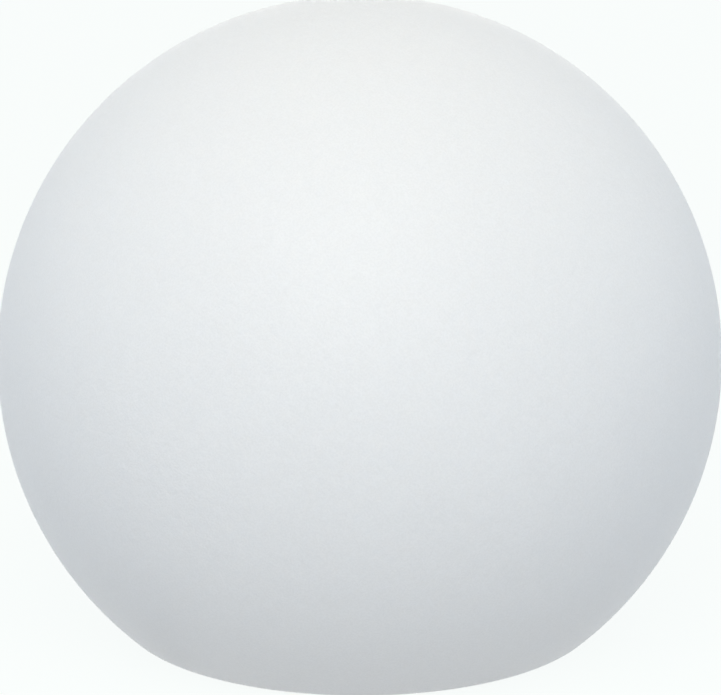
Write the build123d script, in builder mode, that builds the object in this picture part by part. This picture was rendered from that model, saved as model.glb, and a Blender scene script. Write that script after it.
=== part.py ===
# Floating solar light: a hollow opal globe with a flat foot, standing over a sealed light engine.
# The base of the engine closes the globe's mouth from below. A ring with bayonet hooks draws the
# base and its seal against the neck of the globe. A solar panel looks up through the opal skin.
# Millimetres, +Z up, origin on the floor below the middle of the globe.

import os
from math import cos, radians, sin, sqrt

from build123d import *

# Globe
globe_diameter = 300.0
globe_wall = 3.0
foot_edge_radius = 10.2     # rounding between the ball and its flat foot
foot_width = 11.8           # flat ring that the globe stands on
recess_lip = 1.0            # rounding of the recess's mouth, inside the skin
recess_root_radius = 2.0

# Clearances
turn_gap = 0.3              # between faces that turn or slide past each other
seat_gap = 0.05             # between a piece and the seat that holds it
free_gap = 1.0              # between pieces that keep out of each other's way

# Neck of the globe
neck_bore = 96.0
neck_wall = 4.0
neck_flange_width = 9.0
neck_flange_thickness = 3.0
neck_shoulder = 3.0
neck_rise = 4.0
neck_edge = 1.0

# Bayonet lock
lug_count = 4
lug_span = 38.0
lug_reach = 4.0
lug_round = 1.5
hook_thickness = 3.0
hook_lead = 1.0             # slope under the end of a hook that meets its lug first
stop_clearance = 0.5        # degrees left between a locked lug and its stop

# Lock ring
lip_thickness = 3.0
lip_overlap = 5.0
ring_wall = 4.5
ring_edge = 0.8
flute_count = 24
flute_radius = 5.0
flute_depth = 1.2
finger_gap = 12.0

# Base
flange_thickness = 4.0
floor_thickness = 3.0
spigot_wall = 3.4
spigot_height = 8.7
seal_groove_depth = 2.2
seal_groove_width = 3.2
base_edge = 0.6
rib_thickness = 1.6

# Mooring pocket
mooring_length = 20.0
mooring_width = 13.0
mooring_depth = 9.0
mooring_wall = 2.5
mooring_round = 3.2
mooring_pin_diameter = 4.0
mooring_pin_height = 3.0
mooring_pin_hold = 2.5      # how deep each end of the pin sits in the pocket's side

# Power button and switch
button_diameter = 17.4
button_recess = 0.8
button_travel = 1.8
button_flange = 1.8
button_flange_thickness = 1.2
button_round = 1.0
dish_radius = 40.0
dish_depth = 0.5
guide_wall = 2.2
guide_top = 7.0
button_groove_depth = 1.4
button_groove_width = 2.2
button_groove_height = 3.6
switch_side = 8.0
switch_height = 5.5
switch_round = 0.5
plunger_diameter = 3.2
plunger_hold = 2.0

# Circuit board
board_margin = 14.0
board_thickness = 1.6
board_room = 2.0            # between the board's rim and the housing's floor
standoff_inset = 6.0
standoff_diameter = 7.0
standoff_count = 3
standoff_turn = 30.0        # degrees from the X axis to the first standoff
chip_length = 6.0
chip_width = 5.0
chip_height = 1.6
tall_row = 15.0             # from the middle of the board to its two tall parts
tall_gap = 9.0              # between those two parts
capacitor_diameter = 8.0
capacitor_height = 11.0
capacitor_edge = 0.5
crimp_height = 1.5
crimp_width = 0.8
crimp_depth = 0.4
inductor_diameter = 9.0
inductor_height = 5.0
inductor_edge = 0.75

# Screws
screw_diameter = 2.9
screw_head_diameter = 5.6
screw_head_height = 2.0
screw_head_round = 1.0
screw_length = 9.0
boss_diameter = 8.0
boss_inset = 5.8
boss_turn = 35.0            # degrees from the X axis to each housing screw

# Battery cells and their holder
cell_diameter = 14.5
cell_length = 50.5
cell_pitch = 15.2
cell_gap = 0.3
nub_diameter = 5.5
nub_height = 1.5
leaf_height = 3.0
leaf_width = 9.0
leaf_depth = 6.0
contact_thickness = 0.5
holder_wall = 1.2
holder_end = 1.5
cradle_depth = 3.0

# Engine housing and its battery door
housing_step = 0.7
housing_wall = 2.0
housing_floor = 2.0
housing_edge = 0.5
shelf_thickness = 2.0
rail_thickness = 2.0
rail_depth = 11.0
ledge_thickness = 2.0
ledge_width = 4.0
door_thickness = 2.0
door_margin = 1.0
knuckle_diameter = 4.8
knuckle_height = 6.5
hinge_offset = 1.0          # hinge line in front of the door's outer face
hinge_pin_diameter = 2.0
grip_radius = 5.0
grip_depth = 1.0
door_rib_count = 3
door_rib_length = 14.0
door_rib_width = 1.2
door_rib_height = 0.6
door_rib_pitch = 3.0
door_rib_inset = 7.0        # from the door's free edge to the middle rib

# Lamp ring and solar panel
frame_flange_thickness = 1.6
frame_floor = 2.0
frame_wall = 2.2
lamp_width = 9.0            # width of the lit ring around the panel
led_count = 8
led_side = 5.0
led_height = 1.6
led_well_diameter = 4.0
led_well_depth = 0.4
lens_wall = 1.3
lens_height = 5.4
lens_round = 3.2
housing_rim = 3.0
gasket_thickness = 1.0
gasket_width = 6.0
backing_thickness = 1.6
solar_cell_thickness = 0.4
solar_strips = 8
solar_strip_gap = 0.8
solar_border = 2.0
window_thickness = 2.0
bezel_thickness = 1.4
bezel_overlap = 1.8
bezel_edge = 0.7

# Leads
lead_diameter = 1.5
lead_bend = 3.0
lead_room = 0.75            # around a lead in its slot
lead_offset = 3.0           # from the middle to each lead of a pair
lead_run = 6.0              # straight stretch before a lead turns
lamp_lead_run = 9.0
lead_row_inset = 12.0       # from the board's rim to where the leads are soldered
panel_lead_spread = 33.0
panel_lead_hole = 9.0
battery_tap = 18.0          # height in the bay at which the leads leave the holder

# Radii and heights that follow from the sizes above
globe_radius = globe_diameter / 2
recess_lip_radius = globe_wall + recess_lip

neck_radius = neck_bore / 2
neck_outer_radius = neck_radius + neck_wall
flange_radius = neck_radius + neck_flange_width
lug_radius = flange_radius + lug_reach
hook_radius = flange_radius + turn_gap
ring_inner_radius = lug_radius + turn_gap
ring_radius = ring_inner_radius + ring_wall
lip_radius = flange_radius - lip_overlap
recess_radius = ring_radius + finger_gap
foot_radius = recess_radius + recess_lip_radius + foot_width
globe_middle = foot_edge_radius + sqrt((globe_radius - foot_edge_radius) ** 2 - foot_radius**2)
lug_pitch = 360.0 / lug_count
stop_span = (lug_pitch / 2 - lug_span) / 2
stop_turn = lug_span / 2 + stop_clearance + stop_span / 2
hook_span = lug_span + stop_clearance
hook_turn = (lug_pitch - stop_clearance) / 2

flange_bottom = lip_thickness + turn_gap
flange_top = flange_bottom + flange_thickness
neck_bottom = flange_top + turn_gap
lug_top = neck_bottom + neck_flange_thickness
hook_bottom = lug_top + turn_gap
hook_top = hook_bottom + hook_thickness
recess_depth = hook_top + free_gap
neck_top = recess_depth + globe_wall + neck_rise
seal_radius = (neck_radius + flange_radius) / 2
seal_section = seal_groove_depth + turn_gap - 2 * seat_gap

spigot_radius = neck_radius - turn_gap
spigot_inner_radius = spigot_radius - spigot_wall
spigot_top = flange_top + spigot_height
mooring_middle = spigot_inner_radius - mooring_wall - mooring_length / 2

button_radius = button_diameter / 2
guide_radius = button_radius + turn_gap
button_flange_bottom = guide_top + seat_gap
button_flange_top = button_flange_bottom + button_flange_thickness
switch_bottom = button_flange_top + button_travel + turn_gap
board_bottom = switch_bottom + switch_height
board_top = board_bottom + board_thickness
board_radius = spigot_inner_radius - board_margin
standoff_circle = board_radius - standoff_inset
boss_circle = spigot_inner_radius - boss_inset

housing_radius = spigot_radius - housing_step
housing_inner_radius = housing_radius - housing_wall
knuckle_radius = knuckle_diameter / 2
holder_width = 2 * cell_pitch + cell_diameter + 2 * (cell_gap + holder_wall)
door_width = 2 * cell_pitch + cell_diameter + cell_gap
hinge_x = -(door_width / 2 + turn_gap + knuckle_radius)
hinge_y = -sqrt((housing_radius - knuckle_radius) ** 2 - hinge_x**2)
bay_front = hinge_y + hinge_offset
bay_inside = bay_front + housing_wall
holder_front = bay_inside + turn_gap
cell_middle = holder_front + cell_gap + cell_diameter / 2
holder_back = cell_middle + cell_diameter / 2 + cell_gap + holder_wall
bay_bottom = max(neck_top, board_top + screw_head_height + shelf_thickness) + free_gap
holder_length = cell_length + leaf_height + contact_thickness + 2 * holder_end
holder_top = bay_bottom + holder_length
door_bottom = bay_bottom + door_margin
door_top = holder_top - door_margin
barrel_bottom = door_bottom + knuckle_height + 2 * turn_gap
barrel_top = door_top - knuckle_height - 2 * turn_gap
bay_top = holder_top
ledge_top = bay_top + ledge_thickness + free_gap

frame_radius = housing_inner_radius - lamp_width
led_board_bottom = ledge_top + frame_flange_thickness
led_board_top = led_board_bottom + board_thickness
led_circle = (frame_radius + housing_inner_radius) / 2
lamp_lead_row = frame_radius + 2 * lead_room + lead_diameter / 2
housing_top = led_board_top + housing_rim
panel_floor = ledge_top + frame_floor
backing_bottom = panel_floor + gasket_thickness
backing_top = backing_bottom + backing_thickness
cells_top = backing_top + solar_cell_thickness
window_top = cells_top + window_thickness
frame_top = window_top + seat_gap
panel_radius = frame_radius - frame_wall - turn_gap

CENTRED_UP = (Align.CENTER, Align.CENTER, Align.MIN)


def ring_sectors(inner, outer, count, span, start):
    """Adds evenly spaced sectors of a ring to the sketch being drawn."""
    half = radians(span / 2)
    reach = outer / cos(half)
    side = reach * sin(half)
    with PolarLocations(0, count, start_angle=start):
        Polygon((0, 0), (outer, -side), (outer, side), align=None)
    Circle(outer, mode=Mode.INTERSECT)
    Circle(inner, mode=Mode.SUBTRACT)


def four_corners(circle, turn):
    """Four points on a circle, mirrored about both axes."""
    x = circle * cos(radians(turn))
    y = circle * sin(radians(turn))
    return [(x, y), (-x, y), (-x, -y), (x, -y)]


# Globe: one ball-shaped skin of even wall, cut flat at the foot, with a finger recess and a mouth.
with BuildPart() as globe_shell:
    with BuildSketch(Plane.XZ) as globe_section:
        with Locations((0, globe_middle)):
            Circle(globe_radius)
        Rectangle(globe_diameter, globe_diameter, align=(Align.CENTER, Align.MAX), mode=Mode.SUBTRACT)
        fillet(globe_section.vertices().group_by(Axis.Y)[0], foot_edge_radius)
        Rectangle(
            2 * recess_radius, recess_depth, align=(Align.CENTER, Align.MIN), mode=Mode.SUBTRACT
        )
        recess_corners = globe_section.vertices().filter_by_position(
            Axis.X, -recess_radius - seat_gap, recess_radius + seat_gap
        )
        fillet(recess_corners.group_by(Axis.Y)[0], recess_lip_radius)
        recess_corners = globe_section.vertices().filter_by_position(
            Axis.Y, recess_depth - seat_gap, recess_depth + seat_gap
        )
        fillet(recess_corners, recess_root_radius)
        offset(amount=-globe_wall, mode=Mode.SUBTRACT)
        Rectangle(
            2 * (neck_outer_radius + seat_gap),
            recess_depth + 2 * globe_wall,
            align=(Align.CENTER, Align.MIN),
            mode=Mode.SUBTRACT,
        )
        split(bisect_by=Plane.YZ)
    revolve(axis=Axis.Z)

# Neck collar: mouth ring with a sealing face below and bayonet lugs around it.
with BuildPart() as neck_collar:
    with BuildSketch(Plane.XY.offset(neck_bottom)):
        Circle(flange_radius)
    extrude(amount=neck_flange_thickness)
    with BuildSketch(Plane.XY.offset(neck_bottom)):
        ring_sectors(neck_outer_radius, lug_radius, lug_count, lug_span, 0)
    extrude(amount=neck_flange_thickness)
    lug_corners = neck_collar.edges().filter_by(Axis.Z).sort_by_distance((0, 0, neck_bottom))
    fillet(lug_corners[-2 * lug_count :], lug_round)
    with BuildSketch(Plane.XY.offset(lug_top)):
        Circle(neck_outer_radius + neck_shoulder)
    extrude(amount=recess_depth - lug_top)
    with BuildSketch(Plane.XY.offset(recess_depth)):
        Circle(neck_outer_radius)
    extrude(amount=neck_top - recess_depth)
    with BuildSketch(Plane.XY.offset(neck_bottom)):
        Circle(neck_radius)
    extrude(amount=neck_top - neck_bottom, mode=Mode.SUBTRACT)
    mouth = neck_collar.edges().filter_by(GeomType.CIRCLE).group_by(Axis.Z)[-1]
    chamfer(mouth, neck_edge)

# Lock ring: a lip under the base flange, a fluted wall, and hooks that turn over the lugs.
with BuildPart() as lock_ring:
    Cylinder(ring_radius, hook_top, align=CENTRED_UP)
    chamfer(lock_ring.edges().filter_by(GeomType.CIRCLE), ring_edge)
    with BuildSketch(Plane.XY.offset(lip_thickness)):
        Circle(ring_inner_radius)
    extrude(amount=hook_top, mode=Mode.SUBTRACT)
    with BuildSketch():
        Circle(lip_radius)
    extrude(amount=lip_thickness, mode=Mode.SUBTRACT)
    with BuildSketch(Plane.XY.offset(hook_bottom)):
        ring_sectors(hook_radius, ring_inner_radius + ring_edge, lug_count, hook_span, hook_turn)
    extrude(amount=hook_thickness)
    with BuildSketch(Plane.XY.offset(lip_thickness)):
        stop_start = lug_pitch / 2 - stop_turn
        ring_sectors(hook_radius, ring_inner_radius + ring_edge, lug_count, stop_span, stop_start)
    extrude(amount=hook_top - lip_thickness)
    hook_ends = lock_ring.edges().filter_by(GeomType.LINE).filter_by_position(
        Axis.Z, hook_bottom - seat_gap, hook_bottom + seat_gap
    )
    chamfer(hook_ends.filter_by(lambda edge: not edge.is_interior), hook_lead)
    with BuildSketch():
        with PolarLocations(ring_radius + flute_radius - flute_depth, flute_count):
            Circle(flute_radius)
    extrude(amount=hook_top, mode=Mode.SUBTRACT)

# Base plate: a tray that stands on the floor and plugs the neck, with bosses and a mooring pocket.
with BuildPart() as base_plate:
    with BuildSketch():
        Circle(lip_radius - turn_gap)
    extrude(amount=flange_bottom)
    chamfer(base_plate.edges().filter_by(GeomType.CIRCLE).group_by(Axis.Z)[0], base_edge)
    with BuildSketch(Plane.XY.offset(flange_bottom)):
        Circle(flange_radius)
    extrude(amount=flange_thickness)
    with BuildSketch(Plane.XY.offset(flange_top)):
        Circle(spigot_radius)
    extrude(amount=spigot_height)
    chamfer(base_plate.edges().filter_by(GeomType.CIRCLE).group_by(Axis.Z)[-1], base_edge)
    with BuildSketch(Plane.XY.offset(floor_thickness)):
        Circle(spigot_inner_radius)
    extrude(amount=spigot_top, mode=Mode.SUBTRACT)
    with BuildSketch(Plane.XY.offset(flange_top)):
        Circle(seal_radius + seal_groove_width / 2)
        Circle(seal_radius - seal_groove_width / 2, mode=Mode.SUBTRACT)
    extrude(amount=-seal_groove_depth, mode=Mode.SUBTRACT)
    # guide of the button, and webs that brace it past the standoffs to the spigot
    with BuildSketch():
        Circle(guide_radius + guide_wall)
    extrude(amount=guide_top)
    with BuildSketch(Plane.XY.offset(floor_thickness)):
        with PolarLocations(0, standoff_count, start_angle=standoff_turn):
            Rectangle(
                spigot_inner_radius + spigot_wall / 2, rib_thickness, align=(Align.MIN, Align.CENTER)
            )
    extrude(amount=guide_top - floor_thickness)
    with BuildSketch():
        Circle(guide_radius)
    extrude(amount=guide_top, mode=Mode.SUBTRACT)
    guide_mouth = base_plate.edges().filter_by(GeomType.CIRCLE).group_by(Axis.Z)[0].sort_by(SortBy.RADIUS)
    chamfer(guide_mouth[0], base_edge)
    # standoffs of the board and bosses of the housing
    with BuildSketch(Plane.XY.offset(floor_thickness)):
        with PolarLocations(standoff_circle, standoff_count, start_angle=standoff_turn):
            Circle(standoff_diameter / 2)
    extrude(amount=board_bottom - floor_thickness)
    with BuildSketch(Plane.XY.offset(floor_thickness)):
        with Locations(*four_corners(boss_circle, boss_turn)):
            Circle(boss_diameter / 2)
    extrude(amount=spigot_top - floor_thickness)
    with Locations(Plane.XY.offset(board_bottom)):
        with PolarLocations(standoff_circle, standoff_count, start_angle=standoff_turn):
            Hole(screw_diameter / 2 + seat_gap, depth=screw_length)
    with Locations(Plane.XY.offset(spigot_top)):
        with Locations(*four_corners(boss_circle, boss_turn)):
            Hole(screw_diameter / 2 + seat_gap, depth=screw_length)
    # mooring pocket with blind seats for its pin
    with BuildSketch(Plane.XY.offset(floor_thickness)):
        with Locations((0, mooring_middle)):
            Rectangle(
                mooring_width + 2 * (mooring_pin_hold + mooring_wall),
                mooring_length + 2 * mooring_wall,
            )
        Circle(spigot_inner_radius, mode=Mode.INTERSECT)
    extrude(amount=mooring_depth + mooring_wall - floor_thickness)
    with BuildSketch():
        with Locations((0, mooring_middle)):
            RectangleRounded(mooring_width, mooring_length, mooring_round)
    extrude(amount=mooring_depth, mode=Mode.SUBTRACT)
    with BuildSketch(Plane.YZ.offset(-mooring_width / 2 - mooring_pin_hold)):
        with Locations((mooring_middle, mooring_pin_height)):
            Circle(mooring_pin_diameter / 2 + seat_gap)
    extrude(amount=mooring_width + 2 * mooring_pin_hold, mode=Mode.SUBTRACT)

# Mooring pin: a plain steel pin across the pocket, moulded in at both ends.
with BuildPart() as mooring_pin:
    with BuildSketch(Plane.YZ.offset(-mooring_width / 2 - mooring_pin_hold + seat_gap)):
        with Locations((mooring_middle, mooring_pin_height)):
            Circle(mooring_pin_diameter / 2)
    extrude(amount=mooring_width + 2 * (mooring_pin_hold - seat_gap))

# Seal ring: a round rubber ring in the flange's groove, pressed down by the neck.
with BuildPart() as seal_ring:
    with BuildSketch(Plane.XZ):
        with Locations((seal_radius, flange_top - seal_groove_depth + seat_gap + seal_section / 2)):
            Circle(seal_section / 2)
    revolve(axis=Axis.Z)

# Power button: a dished plug in the base's guide, with a flange that stops it and a seal groove.
with BuildPart() as power_button:
    with BuildSketch(Plane.XY.offset(button_recess)):
        Circle(button_radius)
    extrude(amount=button_flange_bottom - button_recess)
    fillet(power_button.edges().filter_by(GeomType.CIRCLE).group_by(Axis.Z)[0], button_round)
    with BuildSketch(Plane.XY.offset(button_flange_bottom)):
        Circle(guide_radius + button_flange)
    extrude(amount=button_flange_thickness)
    with BuildSketch(Plane.XY.offset(button_groove_height)):
        Circle(guide_radius)
        Circle(button_radius - button_groove_depth, mode=Mode.SUBTRACT)
    extrude(amount=button_groove_width, mode=Mode.SUBTRACT)
    with Locations((0, 0, button_recess + dish_depth - dish_radius)):
        Sphere(dish_radius, mode=Mode.SUBTRACT)

# Button seal: a small round ring in the button's groove, running on the guide.
button_seal_section = guide_radius - button_radius + button_groove_depth - 2 * seat_gap
with BuildPart() as button_seal:
    with BuildSketch(Plane.XZ):
        with Locations(
            (
                guide_radius - seat_gap - button_seal_section / 2,
                button_groove_height + button_groove_width / 2,
            )
        ):
            Circle(button_seal_section / 2)
    revolve(axis=Axis.Z)

# Switch: a small latching push switch on the underside of the board, and its plunger.
with BuildPart() as power_switch:
    with BuildSketch(Plane.XY.offset(switch_bottom)):
        RectangleRounded(switch_side, switch_side, switch_round)
    extrude(amount=switch_height)
    with BuildSketch(Plane.XY.offset(switch_bottom)):
        Circle(plunger_diameter / 2 + turn_gap)
    extrude(amount=plunger_hold + button_travel + turn_gap, mode=Mode.SUBTRACT)

with BuildPart() as switch_plunger:
    with BuildSketch(Plane.XY.offset(button_flange_top)):
        Circle(plunger_diameter / 2)
    extrude(amount=switch_bottom - button_flange_top + plunger_hold)

# Circuit board on its standoffs, with the parts it carries.
with BuildPart() as circuit_board:
    with BuildSketch(Plane.XY.offset(board_bottom)):
        Circle(board_radius)
    extrude(amount=board_thickness)
    with Locations(Plane.XY.offset(board_top)):
        with PolarLocations(standoff_circle, standoff_count, start_angle=standoff_turn):
            Hole(screw_diameter / 2 + turn_gap)

with BuildPart() as driver_chip:
    with BuildSketch(Plane.XY.offset(board_top)):
        Rectangle(chip_length, chip_width)
    extrude(amount=chip_height)

with BuildPart() as storage_capacitor:
    with BuildSketch(Plane.XY.offset(board_top)):
        with Locations((-(tall_gap + capacitor_diameter) / 2, tall_row)):
            Circle(capacitor_diameter / 2)
    extrude(amount=capacitor_height)
    fillet(storage_capacitor.edges().filter_by(GeomType.CIRCLE), capacitor_edge)
    with BuildSketch(Plane.XY.offset(board_top + crimp_height)):
        with Locations((-(tall_gap + capacitor_diameter) / 2, tall_row)):
            Circle(capacitor_diameter / 2)
            Circle(capacitor_diameter / 2 - crimp_depth, mode=Mode.SUBTRACT)
    extrude(amount=crimp_width, mode=Mode.SUBTRACT)

with BuildPart() as boost_inductor:
    with BuildSketch(Plane.XY.offset(board_top)):
        with Locations(((tall_gap + inductor_diameter) / 2, tall_row)):
            Circle(inductor_diameter / 2)
    extrude(amount=inductor_height)
    chamfer(boost_inductor.edges().filter_by(GeomType.CIRCLE), inductor_edge)


def pan_head_screws(spots, seat):
    """Screws with domed heads resting on the level named seat."""
    with BuildPart() as screws:
        with BuildSketch(Plane.XY.offset(seat)):
            with Locations(*spots):
                Circle(screw_head_diameter / 2)
        extrude(amount=screw_head_height)
        fillet(screws.edges().filter_by(GeomType.CIRCLE).group_by(Axis.Z)[-1], screw_head_round)
        with BuildSketch(Plane.XY.offset(seat)):
            with Locations(*spots):
                Circle(screw_diameter / 2)
        extrude(amount=-(screw_length - free_gap))
    return screws


board_spots = PolarLocations(standoff_circle, standoff_count, start_angle=standoff_turn).local_locations
board_screws = pan_head_screws([spot.position for spot in board_spots], board_top)
housing_screws = pan_head_screws(four_corners(boss_circle, boss_turn), spigot_top + housing_floor)

# Engine housing: a tube on the base's spigot with a flat bay for the batteries and a ledge on top.
with BuildPart() as engine_housing:
    with BuildSketch(Plane.XY.offset(spigot_top)):
        Circle(housing_radius)
    extrude(amount=housing_top - spigot_top)
    chamfer(engine_housing.edges().filter_by(GeomType.CIRCLE).group_by(Axis.Z)[-1], housing_edge)
    with BuildSketch(Plane.XY.offset(bay_bottom)):
        with Locations((0, bay_front)):
            Rectangle(2 * housing_radius, housing_radius, align=(Align.CENTER, Align.MAX))
    extrude(amount=bay_top - bay_bottom, mode=Mode.SUBTRACT)
    # room for the electronics, open to the board below and the lamp above
    with BuildSketch(Plane.XY.offset(spigot_top + housing_floor)):
        Circle(housing_inner_radius)
        with Locations((0, bay_inside)):
            Rectangle(
                2 * housing_radius, housing_radius, align=(Align.CENTER, Align.MAX), mode=Mode.SUBTRACT
            )
    extrude(amount=ledge_top - spigot_top - housing_floor, mode=Mode.SUBTRACT)
    with BuildSketch(Plane.XY.offset(spigot_top)):
        Circle(board_radius + board_room)
    extrude(amount=housing_floor, mode=Mode.SUBTRACT)
    with BuildSketch(Plane.XY.offset(ledge_top - ledge_thickness)):
        Circle(housing_inner_radius + housing_wall / 2)
        Circle(housing_inner_radius - ledge_width, mode=Mode.SUBTRACT)
    extrude(amount=ledge_thickness)
    with BuildSketch(Plane.XY.offset(ledge_top)):
        Circle(housing_inner_radius)
    extrude(amount=housing_top - ledge_top, mode=Mode.SUBTRACT)
    with Locations(Plane.XY.offset(spigot_top + housing_floor)):
        with Locations(*four_corners(boss_circle, boss_turn)):
            Hole(screw_diameter / 2 + turn_gap, depth=housing_floor)
    # shelf and rails that seat the battery holder
    with BuildSketch(Plane.XY.offset(bay_bottom - shelf_thickness)):
        with Locations((0, bay_inside - housing_wall / 2)):
            Rectangle(
                holder_width + 2 * (turn_gap + rail_thickness),
                holder_back - bay_inside + housing_wall,
                align=(Align.CENTER, Align.MIN),
            )
    extrude(amount=shelf_thickness)
    with BuildSketch(Plane.XY.offset(bay_bottom)):
        with Locations((0, bay_inside)):
            with GridLocations(holder_width + 2 * turn_gap + rail_thickness, 0, 2, 1):
                Rectangle(rail_thickness, rail_depth, align=(Align.CENTER, Align.MIN))
    extrude(amount=holder_length - ledge_thickness)
    # opening of the battery door, with a notch for its hinge barrel and a fingernail grip
    with BuildSketch(Plane.XZ.offset(-bay_front)):
        with Locations((0, (door_bottom + door_top) / 2)):
            Rectangle(door_width + 2 * turn_gap, door_top - door_bottom + 2 * turn_gap)
        with Locations((hinge_x - knuckle_radius - turn_gap, (door_bottom + door_top) / 2)):
            Rectangle(
                knuckle_diameter + 2 * turn_gap,
                barrel_top - barrel_bottom + 2 * turn_gap,
                align=(Align.MIN, Align.CENTER),
            )
    extrude(amount=-housing_wall, mode=Mode.SUBTRACT)
    with BuildSketch(Plane.XZ.offset(-bay_front)):
        with Locations((door_width / 2, (door_bottom + door_top) / 2)):
            Circle(grip_radius)
    extrude(amount=-grip_depth, mode=Mode.SUBTRACT)
    # knuckles of the hinge
    with BuildSketch(Plane.XY.offset(door_bottom)):
        with Locations((hinge_x, hinge_y)):
            Circle(knuckle_radius)
    extrude(amount=knuckle_height)
    with BuildSketch(Plane.XY.offset(door_top - knuckle_height)):
        with Locations((hinge_x, hinge_y)):
            Circle(knuckle_radius)
    extrude(amount=knuckle_height)
    with BuildSketch(Plane.XY.offset(door_bottom)):
        with Locations((hinge_x, hinge_y)):
            Circle(hinge_pin_diameter / 2 + seat_gap)
    extrude(amount=door_top - door_bottom, mode=Mode.SUBTRACT)

with BuildPart() as door_pin:
    with BuildSketch(Plane.XY.offset(door_bottom)):
        with Locations((hinge_x, hinge_y)):
            Circle(hinge_pin_diameter / 2)
    extrude(amount=door_top - door_bottom)

# Battery door: a flat plate in the bay's opening, with a hinge barrel and ribs for the thumb.
with BuildPart() as battery_door:
    with BuildSketch(Plane.XZ.offset(-bay_front)):
        with Locations((0, (door_bottom + door_top) / 2)):
            Rectangle(door_width, door_top - door_bottom)
        with Locations((hinge_x, (door_bottom + door_top) / 2)):
            Rectangle(knuckle_diameter, barrel_top - barrel_bottom, align=(Align.MIN, Align.CENTER))
    extrude(amount=-door_thickness)
    with BuildSketch(Plane.XY.offset(barrel_bottom)):
        with Locations((hinge_x, hinge_y)):
            Circle(knuckle_radius)
    extrude(amount=barrel_top - barrel_bottom)
    with BuildSketch(Plane.XY.offset(barrel_bottom)):
        with Locations((hinge_x, hinge_y)):
            Circle(hinge_pin_diameter / 2 + seat_gap)
    extrude(amount=barrel_top - barrel_bottom, mode=Mode.SUBTRACT)
    with BuildSketch(Plane.XZ.offset(-bay_front)):
        with Locations((door_width / 2 - door_rib_inset, (door_bottom + door_top) / 2)):
            with GridLocations(door_rib_pitch, 0, door_rib_count, 1):
                Rectangle(door_rib_width, door_rib_length)
    extrude(amount=door_rib_height)

# Battery holder: a black tray of three cradles, open to the door.
with BuildPart() as battery_holder:
    with BuildSketch(Plane.XY.offset(bay_bottom)):
        with Locations((0, holder_front)):
            Rectangle(holder_width, holder_back - holder_front, align=(Align.CENTER, Align.MIN))
    extrude(amount=holder_length)
    with BuildSketch(Plane.XY.offset(bay_bottom + holder_end)):
        with Locations((0, cell_middle)):
            with GridLocations(cell_pitch, 0, 3, 1):
                Circle(cell_diameter / 2 + cell_gap)
        with Locations((0, cell_middle + cradle_depth)):
            Rectangle(
                holder_width - 2 * holder_wall,
                holder_back - holder_front,
                align=(Align.CENTER, Align.MAX),
            )
    extrude(amount=holder_length - 2 * holder_end, mode=Mode.SUBTRACT)


# Battery cells: the middle one stands on its head, so the three join in a row.
def battery_cell(place, upward):
    """A rechargeable cell on its flat end at the place, button end towards the way given."""
    with BuildPart(Plane(origin=place, z_dir=(0, 0, upward))) as cell:
        Cylinder(cell_diameter / 2, cell_length - nub_height, align=CENTRED_UP)
        fillet(cell.edges().filter_by(GeomType.CIRCLE), cell_gap)
        with Locations((0, 0, cell_length - nub_height)):
            Cylinder(nub_diameter / 2, nub_height, align=CENTRED_UP)
    return cell


cells_bottom = bay_bottom + holder_end
cells_end = bay_bottom + holder_length - holder_end
battery_cell_1 = battery_cell((-cell_pitch, cell_middle, cells_bottom + leaf_height), 1)
battery_cell_2 = battery_cell((0, cell_middle, cells_end - leaf_height), -1)
battery_cell_3 = battery_cell((cell_pitch, cell_middle, cells_bottom + leaf_height), 1)

# Contacts: bowed strips press on the flat ends, plain plates meet the button ends.
leaf_rise = leaf_height - seat_gap
with BuildPart() as contact_leaves:
    for leaf_x, foot, rise in (
        (-cell_pitch, cells_bottom, leaf_rise),
        (0, cells_end, -leaf_rise),
        (cell_pitch, cells_bottom, leaf_rise),
    ):
        with BuildSketch(Plane.XZ.offset(-cell_middle)):
            with BuildLine():
                inner_rise = rise * (1 - contact_thickness / leaf_rise)
                inner_half = leaf_width / 2 - contact_thickness
                ThreePointArc(
                    (leaf_x - leaf_width / 2, foot), (leaf_x, foot + rise), (leaf_x + leaf_width / 2, foot)
                )
                Line((leaf_x + leaf_width / 2, foot), (leaf_x + inner_half, foot))
                ThreePointArc(
                    (leaf_x + inner_half, foot), (leaf_x, foot + inner_rise), (leaf_x - inner_half, foot)
                )
                Line((leaf_x - inner_half, foot), (leaf_x - leaf_width / 2, foot))
            make_face()
        extrude(amount=leaf_depth / 2, both=True)

with BuildPart() as contact_plates:
    for plate_x, level in (
        (-cell_pitch, cells_end - contact_thickness),
        (0, cells_bottom),
        (cell_pitch, cells_end - contact_thickness),
    ):
        with BuildSketch(Plane.XY.offset(level)):
            with Locations((plate_x, cell_middle)):
                Rectangle(leaf_width, leaf_depth)
        extrude(amount=contact_thickness)

# Panel frame: a cup that holds the solar panel, with a flange under the lamp ring.
with BuildPart() as panel_frame:
    with BuildSketch(Plane.XY.offset(ledge_top)):
        Circle(housing_inner_radius - turn_gap)
    extrude(amount=frame_flange_thickness)
    with BuildSketch(Plane.XY.offset(ledge_top)):
        Circle(frame_radius)
    extrude(amount=frame_top - ledge_top)
    with BuildSketch(Plane.XY.offset(panel_floor)):
        Circle(frame_radius - frame_wall)
    extrude(amount=frame_top - panel_floor, mode=Mode.SUBTRACT)
    with BuildSketch(Plane.XY.offset(ledge_top)):
        with GridLocations(panel_lead_spread, 0, 2, 1):
            Circle(panel_lead_hole / 2)
        with Locations((0, lamp_lead_row)):
            SlotOverall(2 * (lead_offset + lead_room) + lead_diameter, lead_diameter + 2 * lead_room)
    extrude(amount=frame_floor, mode=Mode.SUBTRACT)

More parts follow.
